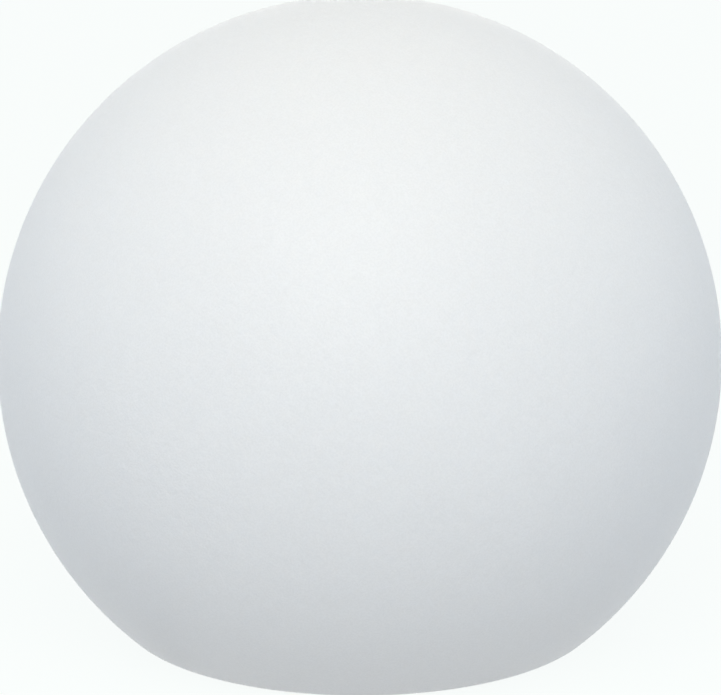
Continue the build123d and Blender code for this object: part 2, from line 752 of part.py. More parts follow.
# Lamp: a ring board with its light-emitting diodes under a clear arched lens.
with BuildPart() as led_board:
    with BuildSketch(Plane.XY.offset(led_board_bottom)):
        Circle(housing_inner_radius - turn_gap)
        Circle(frame_radius + turn_gap, mode=Mode.SUBTRACT)
    extrude(amount=board_thickness)

with BuildPart() as leds:
    with BuildSketch(Plane.XY.offset(led_board_top)):
        with PolarLocations(led_circle, led_count):
            Rectangle(led_side, led_side)
    extrude(amount=led_height)
    with BuildSketch(Plane.XY.offset(led_board_top + led_height)):
        with PolarLocations(led_circle, led_count):
            Circle(led_well_diameter / 2)
    extrude(amount=-led_well_depth, mode=Mode.SUBTRACT)

lens_width = lamp_width - 2 * turn_gap
with BuildPart() as lens_ring:
    with BuildSketch(Plane.XZ) as lens_outline:
        with Locations((led_circle, led_board_top)):
            Rectangle(lens_width, lens_height, align=(Align.CENTER, Align.MIN))
        fillet(lens_outline.vertices().group_by(Axis.Y)[-1], lens_round)
    revolve(axis=Axis.Z)
    with BuildSketch(Plane.XZ) as lens_hollow:
        with Locations((led_circle, led_board_top)):
            Rectangle(
                lens_width - 2 * lens_wall, lens_height - lens_wall, align=(Align.CENTER, Align.MIN)
            )
        fillet(lens_hollow.vertices().group_by(Axis.Y)[-1], lens_round - lens_wall)
    revolve(axis=Axis.Z, mode=Mode.SUBTRACT)

# Solar panel: a foam ring, a backing board, strips of cells and a clear window under a bezel.
with BuildPart() as panel_gasket:
    with BuildSketch(Plane.XY.offset(panel_floor)):
        Circle(panel_radius)
        Circle(panel_radius - gasket_width, mode=Mode.SUBTRACT)
    extrude(amount=gasket_thickness)

with BuildPart() as solar_backing:
    with BuildSketch(Plane.XY.offset(backing_bottom)):
        Circle(panel_radius)
    extrude(amount=backing_thickness)

solar_pitch = 2 * (panel_radius - solar_border) / solar_strips
with BuildPart() as solar_cells:
    with BuildSketch(Plane.XY.offset(backing_top)):
        with GridLocations(0, solar_pitch, 1, solar_strips):
            Rectangle(2 * panel_radius, solar_pitch - solar_strip_gap)
        Circle(panel_radius - solar_border, mode=Mode.INTERSECT)
    extrude(amount=solar_cell_thickness)

with BuildPart() as solar_window:
    with BuildSketch(Plane.XY.offset(cells_top)):
        Circle(panel_radius)
    extrude(amount=window_thickness)

with BuildPart() as panel_bezel:
    with BuildSketch(Plane.XY.offset(frame_top)):
        Circle(frame_radius)
        Circle(panel_radius - bezel_overlap, mode=Mode.SUBTRACT)
    extrude(amount=bezel_thickness)
    chamfer(panel_bezel.edges().filter_by(GeomType.CIRCLE).group_by(Axis.Z)[-1], bezel_edge)


# Leads: insulated wires from the panel, the lamp ring and the batteries down to the board.
def lead(*points):
    """A round wire through the points, with its corners bent."""
    with BuildPart() as wire:
        with BuildLine() as route:
            FilletPolyline(*points, radius=lead_bend)
        with BuildSketch(Plane(origin=route.line @ 0, z_dir=route.line % 0)):
            Circle(lead_diameter / 2)
        sweep()
    return wire


lead_row = board_radius - lead_row_inset
lead_middle = (board_top + ledge_top) / 2


def panel_lead(side):
    """From the underside of the panel through the frame to the board."""
    return lead(
        (side * panel_lead_spread / 2, 0, backing_bottom),
        (side * panel_lead_spread / 2, 0, ledge_top - lead_run),
        (side * lead_offset, lead_row, lead_middle),
        (side * lead_offset, lead_row, board_top),
    )


def battery_lead(side):
    """From the back of the battery holder to the board."""
    landing_x = side * (cell_pitch - lead_offset)
    landing_y = holder_back + lead_run + lead_offset
    return lead(
        (side * cell_pitch, holder_back, bay_bottom + battery_tap),
        (side * cell_pitch, holder_back + lead_run, bay_bottom + battery_tap),
        (landing_x, landing_y, bay_bottom + lead_run),
        (landing_x, landing_y, board_top),
    )


def lamp_lead(side):
    """From the underside of the lamp ring through the frame's flange to the board."""
    return lead(
        (side * lead_offset, lamp_lead_row, led_board_bottom),
        (side * lead_offset, lamp_lead_row, ledge_top - lamp_lead_run),
        (side * 3 * lead_offset, lead_row + lead_offset, lead_middle),
        (side * 3 * lead_offset, lead_row + lead_offset, board_top),
    )


panel_lead_red = panel_lead(1)
panel_lead_black = panel_lead(-1)
battery_lead_red = battery_lead(1)
battery_lead_black = battery_lead(-1)
led_lead_red = lamp_lead(1)
led_lead_black = lamp_lead(-1)

pieces = {
    "globe_shell": globe_shell,
    "neck_collar": neck_collar,
    "lock_ring": lock_ring,
    "base_plate": base_plate,
    "seal_ring": seal_ring,
    "mooring_pin": mooring_pin,
    "power_button": power_button,
    "button_seal": button_seal,
    "switch_plunger": switch_plunger,
    "power_switch": power_switch,
    "circuit_board": circuit_board,
    "driver_chip": driver_chip,
    "storage_capacitor": storage_capacitor,
    "boost_inductor": boost_inductor,
    "board_screws": board_screws,
    "housing_screws": housing_screws,
    "engine_housing": engine_housing,
    "door_pin": door_pin,
    "battery_door": battery_door,
    "battery_holder": battery_holder,
    "battery_cell_1": battery_cell_1,
    "battery_cell_2": battery_cell_2,
    "battery_cell_3": battery_cell_3,
    "contact_leaves": contact_leaves,
    "contact_plates": contact_plates,
    "panel_frame": panel_frame,
    "led_board": led_board,
    "leds": leds,
    "lens_ring": lens_ring,
    "panel_gasket": panel_gasket,
    "solar_backing": solar_backing,
    "solar_cells": solar_cells,
    "solar_window": solar_window,
    "panel_bezel": panel_bezel,
    "panel_lead_red": panel_lead_red,
    "panel_lead_black": panel_lead_black,
    "battery_lead_red": battery_lead_red,
    "battery_lead_black": battery_lead_black,
    "led_lead_red": led_lead_red,
    "led_lead_black": led_lead_black,
}

os.makedirs("parts", exist_ok=True)
for name, piece in pieces.items():
    piece.part.label = name
    export_step(piece.part, f"parts/{name}.step")
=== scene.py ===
# Floating solar light: an opal globe over a sealed light engine, on a white studio floor.

from math import atan2, cos, pi, radians, sin, sqrt

import bmesh
import bpy
from mathutils import Matrix, Vector


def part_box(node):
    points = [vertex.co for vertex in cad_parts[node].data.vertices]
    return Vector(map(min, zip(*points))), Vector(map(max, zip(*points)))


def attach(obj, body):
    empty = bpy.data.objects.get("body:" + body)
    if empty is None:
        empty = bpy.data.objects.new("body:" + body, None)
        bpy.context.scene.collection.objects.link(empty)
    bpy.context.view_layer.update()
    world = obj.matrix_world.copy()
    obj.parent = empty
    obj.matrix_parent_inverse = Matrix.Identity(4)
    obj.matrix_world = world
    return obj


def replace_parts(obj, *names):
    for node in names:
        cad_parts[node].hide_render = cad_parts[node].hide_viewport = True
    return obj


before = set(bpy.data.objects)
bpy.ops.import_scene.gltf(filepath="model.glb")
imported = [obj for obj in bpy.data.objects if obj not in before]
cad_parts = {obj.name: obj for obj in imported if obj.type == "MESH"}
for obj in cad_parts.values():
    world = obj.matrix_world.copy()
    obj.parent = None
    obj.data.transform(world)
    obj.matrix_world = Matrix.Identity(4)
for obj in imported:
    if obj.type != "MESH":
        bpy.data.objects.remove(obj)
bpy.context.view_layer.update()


# Base plate: the tray that stands on the floor and plugs the globe's mouth from below.
# Injection moulded in pale grey polypropylene with the dull grain of an etched tool. The rim that
# it stands on is scuffed, and printed with a ring and a dot where the lock ring is open and shut.
MM = 0.001


class Tone:
    """A number or colour that varies over a surface. Sums on numbers add Math nodes."""

    def __init__(self, nodes, socket):
        self.nodes = nodes
        self.socket = socket

    def beside(self, out):
        """Another output of the same node."""
        return Tone(self.nodes, self.socket.node.outputs[out])

    def maths(self, operation, first, second=0.0):
        return self.nodes.node("ShaderNodeMath", {"operation": operation}, {0: first, 1: second})

    def __add__(self, other):
        return self.maths("ADD", self, other)

    def __sub__(self, other):
        return self.maths("SUBTRACT", self, other)

    def __rsub__(self, other):
        return self.maths("SUBTRACT", other, self)

    def __mul__(self, other):
        return self.maths("MULTIPLY", self, other)

    def __mod__(self, other):
        return self.maths("FLOORED_MODULO", self, other)

    def __pow__(self, other):
        return self.maths("POWER", self, other)

    def __abs__(self):
        return self.maths("ABSOLUTE", self)

    def __lt__(self, other):
        return self.maths("LESS_THAN", self, other)

    def __gt__(self, other):
        return self.maths("GREATER_THAN", self, other)

    __radd__ = __add__
    __rmul__ = __mul__


class Nodes:
    """The nodes of a material or of the sky."""

    def __init__(self, owner):
        owner.use_nodes = True
        self.tree = owner.node_tree

    def node(self, kind, settings, sockets, out=0):
        """Adds a node: its settings first, then the values or links of its sockets."""
        node = self.tree.nodes.new(kind)
        for name, value in settings.items():
            setattr(node, name, value)
        for name, value in sockets.items():
            self.feed(node.inputs[name], value)
        return Tone(self, node.outputs[out])

    def feed(self, socket, value):
        if isinstance(value, Tone):
            self.tree.links.new(value.socket, socket)
        else:
            socket.default_value = value

    def mix(self, share, first, second):
        return self.node("ShaderNodeMix", {"data_type": "RGBA"}, {0: share, 6: first, 7: second}, 2)

    def seen(self):
        """1 on what the camera sees, by itself or in metal and glass."""
        camera = self.node("ShaderNodeLightPath", {}, {}, "Is Camera Ray")
        return camera + camera.beside("Is Glossy Ray") + camera.beside("Is Transmission Ray")


class Finish(Nodes):
    """The material of one surface: a Principled shader and the nodes that feed it."""

    def __init__(self, name, constants):
        self.material = bpy.data.materials.new(name)
        super().__init__(self.material)
        self.shader = self.tree.nodes["Principled BSDF"]
        self.wear(constants)
        self.place = self.node("ShaderNodeTexCoord", {}, {}, "Object")

    def wear(self, sockets):
        """Feeds the shader's own sockets."""
        for name, value in sockets.items():
            self.feed(self.shader.inputs[name], value)

    def noise(self, scale, detail, place=None):
        sockets = {"Vector": place or self.place, "Scale": scale, "Detail": detail}
        return self.node("ShaderNodeTexNoise", {}, sockets)

    def stretched(self, scale):
        """The place on the surface, drawn out by a scale along each axis."""
        return self.node("ShaderNodeMapping", {}, {"Vector": self.place, "Scale": scale})

    def axes(self):
        x = self.node("ShaderNodeSeparateXYZ", {}, {"Vector": self.place})
        return x, x.beside("Y"), x.beside("Z")

    def distance(self, point):
        """How far the surface is from a point."""
        sockets = {0: self.place, 1: point}
        return self.node("ShaderNodeVectorMath", {"operation": "DISTANCE"}, sockets, "Value")

    def rise(self, value, low, high):
        """A soft step from 0 at low to 1 at high."""
        sockets = {"Value": value, "From Min": low, "From Max": high}
        return self.node("ShaderNodeMapRange", {"interpolation_type": "SMOOTHSTEP"}, sockets)

    def scuffs(self, low, high):
        """Scratched patches near the floor, fading out between two heights."""
        below = 1.0 - self.rise(self.axes()[2], low, high)
        return below * self.rise(self.noise(1100.0, detail=5.0), 0.5, 0.74)

    def bump(self, height, depth):
        return self.node("ShaderNodeBump", {}, {"Height": height, "Distance": depth})

    def show(self, shader):
        """Puts another shader in the place of the Principled one."""
        self.feed(self.tree.nodes["Material Output"].inputs["Surface"], shader)


def paint(red, green, blue):
    """A colour from its screen values, 0 to 255, as the linear values that a socket takes."""
    return (*(((value / 255 + 0.055) / 1.055) ** 2.4 for value in (red, green, blue)), 1.0)


def toned(colour, share):
    return (*(min(1.0, value * share) for value in colour[:3]), 1.0)


def moulded(name, colour, roughness, grain_depth, scuff_top=0.0):
    """Moulded plastic: faintly cloudy pigment, the tool's grain, and scuffs below a height."""
    finish = Finish(name, {"IOR": 1.49, "Specular IOR Level": 0.45})
    cloud = finish.noise(45.0, detail=3.0)
    rubbed = finish.noise(190.0, detail=3.0)
    grain = finish.noise(2400.0, detail=2.0)
    body = finish.mix(cloud, toned(colour, 0.94), toned(colour, 1.04))
    dullness = roughness + 0.16 * (rubbed - 0.5)
    if scuff_top:
        scuff = finish.scuffs(0.2 * scuff_top, scuff_top)
        body = finish.mix(0.4 * scuff, body, toned(colour, 0.7))
        dullness = dullness + 0.2 * scuff
    finish.wear({"Base Color": body, "Roughness": dullness, "Normal": finish.bump(grain, grain_depth)})
    return finish


def dress(finish, *nodes):
    """Gives CAD nodes their finish."""
    for name in nodes:
        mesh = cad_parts[name].data
        mesh.materials.clear()
        mesh.materials.append(finish.material)


def inked(finish, share, ink):
    """Prints a mark over the colour that a finish already has."""
    under = Tone(finish, finish.shader.inputs["Base Color"].links[0].from_socket)
    finish.wear({"Base Color": finish.mix(share, under, ink)})
    return finish


mark_circle = 48.4 * MM
mark_radius = 1.5 * MM
mark_line = 0.5 * MM
mark_grey = paint(104, 108, 115)
lock_turn = radians(45.0)
base_grey = moulded(
    "base polypropylene", paint(222, 223, 223), roughness=0.5, grain_depth=0.012 * MM,
    scuff_top=1.2 * MM,
)
from_open = base_grey.distance((mark_circle, 0.0, 0.0))
from_shut = base_grey.distance((mark_circle * cos(lock_turn), mark_circle * sin(lock_turn), 0.0))
open_mark = abs(from_open - mark_radius + mark_line / 2) < mark_line / 2
shut_mark = from_shut < mark_radius
dress(inked(base_grey, open_mark + shut_mark, mark_grey), "base_plate")


# Mooring pin: the bar across the pocket in the base that a line is tied to.
# A length of drawn stainless wire, moulded in at both ends.
def bright_metal(name, colour, drawn):
    """Bare metal with fine lines along the way that it was drawn or rolled."""
    finish = Finish(name, {"Metallic": 1.0})
    lines = finish.noise(1.0, detail=3.0, place=finish.stretched(drawn))
    blotch = finish.noise(260.0, detail=3.0)
    finish.wear({
        "Base Color": finish.mix(blotch, toned(colour, 0.84), colour),
        "Roughness": 0.2 + 0.16 * lines + 0.1 * blotch,
        "Normal": finish.bump(lines, depth=0.006 * MM),
    })
    return finish


ALONG_X = (90.0, 5200.0, 5200.0)
ALONG_Z = (5200.0, 5200.0, 90.0)
dress(bright_metal("drawn stainless wire", paint(196, 197, 199), ALONG_X), "mooring_pin")


# Seal ring: the round rubber ring between the base's flange and the neck of the globe.
# Black EPDM, moulded to shape, with the bloom of talc that keeps it from sticking.
def cured_rubber(name, colour, pebble_depth):
    """Cured rubber: dull, finely pebbled, with a bloom on it."""
    finish = Finish(name, {"IOR": 1.5, "Specular IOR Level": 0.3})
    bloom = finish.noise(120.0, detail=4.0)
    pebble = finish.noise(3200.0, detail=2.0)
    finish.wear({
        "Base Color": finish.mix(bloom, toned(colour, 0.82), toned(colour, 1.22)),
        "Roughness": 0.66 + 0.2 * bloom,
        "Normal": finish.bump(pebble, depth=pebble_depth),
    })
    return finish


seal_rubber = cured_rubber("black sealing rubber", paint(38, 38, 40), pebble_depth=0.012 * MM)
dress(seal_rubber, "seal_ring", "button_seal")


# Power button: a dished plug that is pressed from below, on the plunger of the switch behind it.
# Moulded in grey silicone; the on and off sign is moulded with it and stands proud in the dish.
merge_gap = 0.0005 * MM
crease_angle = radians(32.0)


def finished(bm, name, body, finish):
    """Turns a bmesh into a piece that rides on a body."""
    bmesh.ops.remove_doubles(bm, verts=bm.verts, dist=merge_gap)
    bmesh.ops.recalc_face_normals(bm, faces=bm.faces)
    mesh = bpy.data.meshes.new(name)
    bm.to_mesh(mesh)
    bm.free()
    mesh.shade_smooth()
    mesh.set_sharp_from_angle(angle=crease_angle)
    mesh.materials.append(finish.material)
    piece = bpy.data.objects.new(name, mesh)
    bpy.context.scene.collection.objects.link(piece)
    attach(piece, body)
    return piece


def bevelled(bm, edges, width, segments=2):
    bmesh.ops.bevel(
        bm, geom=edges, offset=width, offset_type="OFFSET", segments=segments, profile=0.5,
        affect="EDGES", material=-1,
    )


def block(bm, middle, sides):
    """Adds a square block."""
    return bmesh.ops.create_cube(bm, matrix=Matrix.LocRotScale(Vector(middle), None, Vector(sides)))


button_grey = cured_rubber("grey silicone", paint(120, 124, 130), pebble_depth=0.008 * MM)
sign_white = cured_rubber("white silicone", paint(226, 228, 228), pebble_depth=0.006 * MM)
dress(button_grey, "power_button")
plunger_white = moulded("plunger acetal", paint(226, 226, 222), roughness=0.34, grain_depth=0.004 * MM)
dress(plunger_white, "switch_plunger")

button_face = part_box("power_button")[0].z
sign_face = button_face + 0.15 * MM
sign_root = button_face + 0.8 * MM
sign_radius = 3.1 * MM
sign_width = 0.8 * MM
sign_round = 0.16 * MM
sign_gap = radians(76.0)
bar_middle = 2.6 * MM
bar_length = 3.0 * MM

bm = bmesh.new()
section = bm.faces.new([
    bm.verts.new((radius, 0.0, height))
    for radius, height in (
        (sign_radius - sign_width / 2, sign_face),
        (sign_radius + sign_width / 2, sign_face),
        (sign_radius + sign_width / 2, sign_root),
        (sign_radius - sign_width / 2, sign_root),
    )
])
bmesh.ops.rotate(bm, verts=bm.verts, matrix=Matrix.Rotation((pi + sign_gap) / 2, 3, "Z"))
bmesh.ops.spin(bm, geom=[section], axis=(0, 0, 1), angle=2 * pi - sign_gap, steps=56)
block(bm, (0.0, bar_middle, (sign_face + sign_root) / 2), (sign_width, bar_length, sign_root - sign_face))
face_edges = [
    edge for edge in bm.edges if max(vert.co.z for vert in edge.verts) < sign_face + merge_gap
]
bevelled(bm, face_edges, sign_round)
finished(bm, "power_sign", "power_button", sign_white)


# Push switch: the small latching switch that the button works, soldered under the circuit board.
# Black nylon body with a square waist, bought in complete.
switch_black = moulded("switch nylon", paint(44, 44, 47), roughness=0.42, grain_depth=0.006 * MM)
dress(switch_black, "power_switch")


# Circuit board: charges the batteries by day and lights the lamp by night, on three standoffs.
# Glass epoxy under green solder mask, with plated vias, tinned pads where the leads land, and a
# white ring printed round each of the two tall parts.
board_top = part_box("circuit_board")[1].z
lead_landings = {
    "panel_lead": (3.0 * MM, 18.3 * MM),
    "led_lead": (9.0 * MM, 21.3 * MM),
    "battery_lead": (12.2 * MM, -8.13 * MM),
}
landings = [(side * x, y, board_top) for x, y in lead_landings.values() for side in (-1, 1)]
pad_radius = 1.9 * MM
vias_per_metre = 120.0
via_share = 0.04
ring_gap = 0.5 * MM
ring_half = 0.09 * MM
mask_green = paint(20, 92, 54)
print_white = paint(224, 226, 222)
solder_tin = paint(204, 205, 206)

board_mask = Finish("green solder mask", {"IOR": 1.5})
weave = board_mask.noise(1500.0, detail=2.0)
via_sockets = {"Vector": board_mask.place, "Scale": vias_per_metre}
spread = board_mask.node("ShaderNodeTexVoronoi", {"voronoi_dimensions": "2D"}, via_sockets, "Distance")
tinned = spread < via_share
for landing in landings:
    tinned = tinned.maths("MAXIMUM", tinned, board_mask.distance(landing) < pad_radius)
printed = 0.0
for tall_part in ("storage_capacitor", "boost_inductor"):
    low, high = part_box(tall_part)
    middle = ((low.x + high.x) / 2, (low.y + high.y) / 2, board_top)
    ring = (high.x - low.x) / 2 + ring_gap
    printed = printed + (abs(board_mask.distance(middle) - ring) < ring_half)
lacquer = board_mask.mix(weave, toned(mask_green, 0.88), toned(mask_green, 1.12))
board_mask.wear({
    "Base Color": board_mask.mix(tinned, board_mask.mix(printed, lacquer, print_white), solder_tin),
    "Metallic": tinned,
    "Roughness": 0.26 + 0.12 * weave + 0.1 * tinned + 0.2 * printed,
    "Normal": board_mask.bump(0.6 * tinned + 0.3 * printed + 0.15 * weave, depth=0.03 * MM),
})
dress(board_mask, "circuit_board")


# Solder joints: the bright cones that hold the leads on their pads.
# Tin solder, drawn up each lead as it set.
def run(bm, tip, x, z):
    """Draws a straight line from the tip of an outline to a new tip."""
    end = bmesh.ops.extrude_vert_indiv(bm, verts=[tip])["verts"][0]
    end.co = (x, 0.0, z)
    return end


def points(geometry):
    return [item for item in geometry if isinstance(item, bmesh.types.BMVert)]


def arc(bm, tip, x, z, turn, steps):
    """Draws an arc about (x, z) to a new tip. A positive turn goes from +Z towards +X."""
    made = bmesh.ops.spin(bm, geom=[tip], cent=(x, 0.0, z), axis=(0, 1, 0), angle=turn, steps=steps)
    return points(made["geom_last"])[0]


def lathe(bm, steps):
    """Turns an outline about the Z axis."""
    bmesh.ops.spin(
        bm, geom=bm.verts[:] + bm.edges[:], axis=(0, 0, 1), angle=2 * pi, steps=steps, use_merge=True
    )
    bmesh.ops.remove_doubles(bm, verts=bm.verts, dist=merge_gap)


def set_out(bm, places):
    """Repeats what is modelled at the origin at each of the places."""
    pattern = bm.verts[:] + bm.edges[:] + bm.faces[:]
    for place in places:
        copy = bmesh.ops.duplicate(bm, geom=pattern)["geom"]
        bmesh.ops.transform(bm, matrix=place, verts=points(copy))
    bmesh.ops.delete(bm, geom=points(pattern), context="VERTS")


bright_solder = bright_metal("bright solder", solder_tin, drawn=(900.0, 900.0, 900.0))
joint_neck = 0.75 * MM
joint_height = 0.8 * MM
joint_foot = joint_neck + joint_height

bm = bmesh.new()
tip = bm.verts.new((0.0, 0.0, 0.0))
tip = run(bm, tip, joint_foot, 0.0)
tip = arc(bm, tip, joint_foot, joint_height, pi / 2, 8)
tip = run(bm, tip, 0.0, joint_height)
lathe(bm, 24)
set_out(bm, [Matrix.Translation(landing) for landing in landings])
finished(bm, "solder_joints", "base", bright_solder)


# Driver chip: the controller in its eight-legged package, in the middle of the board.
# Black epoxy, moulded round a frame of tinned legs that are bent down to the pads.
def strip(bm, start, across, steps):
    """Pulls an edge through the steps into a bent strip."""
    half = Vector(across) / 2
    edge = bm.edges.new([bm.verts.new(Vector(start) - half), bm.verts.new(Vector(start) + half)])
    for step in steps:
        ends = points(bmesh.ops.extrude_edge_only(bm, edges=[edge])["geom"])
        bmesh.ops.translate(bm, verts=ends, vec=step)
        edge = bm.edges.get(ends)


def legs(name, places, out, drop, foot, width, gauge):
    """Tinned legs, each out of a package, down to the board and out along it."""
    bm = bmesh.new()
    bends = [(0.0, -out, 0.0), (0.0, 0.0, -drop), (0.0, -foot, 0.0)]
    strip(bm, (0.0, 0.0, drop), (width, 0.0, 0.0), bends)
    bmesh.ops.recalc_face_normals(bm, faces=bm.faces)
    bmesh.ops.solidify(bm, geom=bm.faces[:], thickness=gauge)
    set_out(bm, places)
    return finished(bm, name, "base", bright_solder)


chip_black = moulded("chip epoxy", paint(40, 40, 42), roughness=0.55, grain_depth=0.006 * MM)
dress(chip_black, "driver_chip")

chip_low, chip_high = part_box("driver_chip")
leg_pitch = 1.27 * MM
leg_gauge = 0.16 * MM
leg_foot = chip_low.z + 0.75 * leg_gauge
legs_a_side = 4
first_leg = -(legs_a_side - 1) / 2 * leg_pitch
chip_leg_places = [
    Matrix.Rotation(turn, 4, "Z")
    @ Matrix.Translation((first_leg + row * leg_pitch, chip_low.y, leg_foot))
    for turn in (0.0, pi)
    for row in range(legs_a_side)
]
legs(
    "chip_legs", chip_leg_places,
    out=0.5 * MM, drop=0.7 * MM, foot=0.7 * MM, width=0.42 * MM, gauge=leg_gauge,
)


# Storage capacitor: the upright can beside the chip that steadies the lamp's supply.
# Drawn aluminium in a dark shrink sleeve, crimped at the foot and scored on top as a vent.
def canned(name, sleeve, pale, metal, low, high):
    """A sleeved can: bare on top within the sleeve's lip, with a pale stripe down one side."""
    bare_share = 0.8
    stripe_share = 0.8
    lid_depth = 0.1 * MM
    score_half = 0.12 * MM
    score_depth = 0.12 * MM
    finish = Finish(name, {"IOR": 1.5})
    x, y, z = finish.axes()
    across = x - (low.x + high.x) / 2
    along = y - (low.y + high.y) / 2
    radius = (high.x - low.x) / 2
    middle = Vector(((low.x + high.x) / 2, (low.y + high.y) / 2, high.z))
    bare = (finish.distance(middle) < bare_share * radius) * (z > high.z - lid_depth)
    stripe = (across < -stripe_share * radius) * (1.0 - bare)
    scored = bare * (1.0 - (abs(across) > score_half) * (abs(along) > score_half))
    scuff = finish.noise(420.0, detail=3.0)
    film = finish.mix(scuff, toned(sleeve, 0.85), toned(sleeve, 1.15))
    finish.wear({
        "Base Color": finish.mix(bare, finish.mix(stripe, film, pale), metal),
        "Metallic": bare,
        "Roughness": 0.24 + 0.14 * scuff + 0.1 * bare,
        "Normal": finish.bump(0.1 * scuff - scored, depth=score_depth),
    })
    return finish


sleeve_blue = paint(36, 40, 74)
stripe_grey = paint(196, 199, 206)
can_bare = paint(205, 206, 208)
capacitor_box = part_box("storage_capacitor")
dress(canned("capacitor sleeve", sleeve_blue, stripe_grey, can_bare, *capacitor_box), "storage_capacitor")


# Boost inductor: the coil that lifts the batteries' voltage to the lamp's.
# Enamelled copper wire wound on a drum of sintered ferrite.
ferrite = moulded("sintered ferrite", paint(74, 74, 76), roughness=0.62, grain_depth=0.02 * MM)
enamel = bright_metal("enamelled copper", paint(186, 104, 62), drawn=(700.0, 700.0, 700.0))

drum_low, drum_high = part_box("boost_inductor")
drum_middle = (drum_low + drum_high) / 2
drum_place = Matrix.Translation((drum_middle.x, drum_middle.y, drum_low.z))
drum_radius = (drum_high.x - drum_low.x) / 2
drum_height = drum_high.z - drum_low.z
drum_flange = 0.9 * MM
drum_neck = 2.4 * MM
drum_round = 0.3 * MM
wire_radius = 0.4 * MM
wire_turns = 4
winding_radius = drum_radius - 0.5 * MM

bm = bmesh.new()
tip = bm.verts.new((0.0, 0.0, drum_height))
tip = run(bm, tip, drum_radius - drum_round, drum_height)
tip = arc(bm, tip, drum_radius - drum_round, drum_height - drum_round, pi / 2, 4)
tip = run(bm, tip, drum_radius, drum_height - drum_flange)
tip = run(bm, tip, drum_neck, drum_height - drum_flange)
tip = run(bm, tip, drum_neck, drum_flange)
tip = run(bm, tip, drum_radius, drum_flange)
tip = run(bm, tip, drum_radius, drum_round)
tip = arc(bm, tip, drum_radius - drum_round, drum_round, pi / 2, 4)
tip = run(bm, tip, 0.0, 0.0)
lathe(bm, 48)
set_out(bm, [drum_place])
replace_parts(finished(bm, "inductor_drum", "base", ferrite), "boost_inductor")

bm = bmesh.new()
for turn in range(wire_turns):
    height = drum_flange + (2 * turn + 1) * wire_radius
    tip = bm.verts.new((winding_radius, 0.0, height))
    arc(bm, tip, winding_radius - wire_radius, height, 2 * pi, 14)
bmesh.ops.remove_doubles(bm, verts=bm.verts, dist=merge_gap)
lathe(bm, 48)
set_out(bm, [drum_place])
finished(bm, "inductor_winding", "base", enamel)


# Board tracks: the copper that joins the chip, the can, the coil and the pads of the leads.
# Etched from foil and lacquered over, so that it shows as raised lines of a paler green.
track_width = 0.9 * MM
track_height = 0.06 * MM
track_green = paint(46, 128, 76)
leg_reach = chip_high.y + 1.0 * MM
inner_leg = 0.5 * leg_pitch
outer_leg = 1.5 * leg_pitch
row_bend = 3.6 * MM
tall_bend = 5.0 * MM
tall_slant = 4.0 * MM

lacquered_copper = Finish("lacquered copper", {"IOR": 1.5})
etched = lacquered_copper.noise(900.0, detail=3.0)
lacquered_copper.wear({
    "Base Color": lacquered_copper.mix(etched, toned(track_green, 0.9), toned(track_green, 1.1)),
    "Roughness": 0.24 + 0.16 * etched,
    "Normal": lacquered_copper.bump(etched, depth=0.01 * MM),
})

bm = bmesh.new()
for side, tall_part in ((-1, "storage_capacitor"), (1, "boost_inductor")):
    low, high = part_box(tall_part)
    tall_x = abs(low.x + high.x) / 2
    tall_y = (low.y + high.y) / 2
    tall_foot = tall_y - tall_bend
    panel_x, panel_y = lead_landings["panel_lead"]
    cell_x, cell_y = lead_landings["battery_lead"]
    panel_bend = leg_reach + 1.6 * row_bend
    routes = [
        [lead_landings["led_lead"], (tall_x, tall_y), (tall_x, tall_foot),
         (tall_x - tall_slant, tall_foot - tall_slant), (outer_leg, tall_foot - tall_slant),
         (outer_leg, leg_reach)],
        [(panel_x, panel_y), (panel_x, panel_bend), (inner_leg, panel_bend - panel_x + inner_leg),
         (inner_leg, leg_reach)],
        [(cell_x, cell_y), (cell_x - row_bend, cell_y + row_bend), (outer_leg, cell_y + row_bend),
         (outer_leg, -leg_reach)],
    ]
    for route in routes:
        bends = [Vector((side * x, y, board_top)) for x, y in route]
        steps = [after - before for before, after in zip(bends, bends[1:])]
        strip(bm, bends[0], (0.0, 0.0, 2 * track_height), steps)
bmesh.ops.solidify(bm, geom=bm.faces[:], thickness=track_width)
finished(bm, "board_tracks", "base", lacquered_copper)


# Screws: three hold the board on its standoffs and four hold the housing on the base.
# Pan-head self-tapping screws with a cross recess, rolled from wire and zinc plated.
def sunk(bm, rim, mouth, depth, taper):
    """Fills a flat top from its rim to the mouth of a recess, and sinks the recess into it."""
    bmesh.ops.triangle_fill(bm, edges=rim + mouth, use_beauty=True)
    bottom = points(bmesh.ops.extrude_edge_only(bm, edges=mouth)["geom"])
    bmesh.ops.translate(bm, verts=bottom, vec=(0.0, 0.0, -depth))
    bmesh.ops.scale(bm, verts=bottom, vec=(taper, taper, 1.0))
    bmesh.ops.contextual_create(bm, geom=[edge for edge in bm.edges if edge.is_boundary])


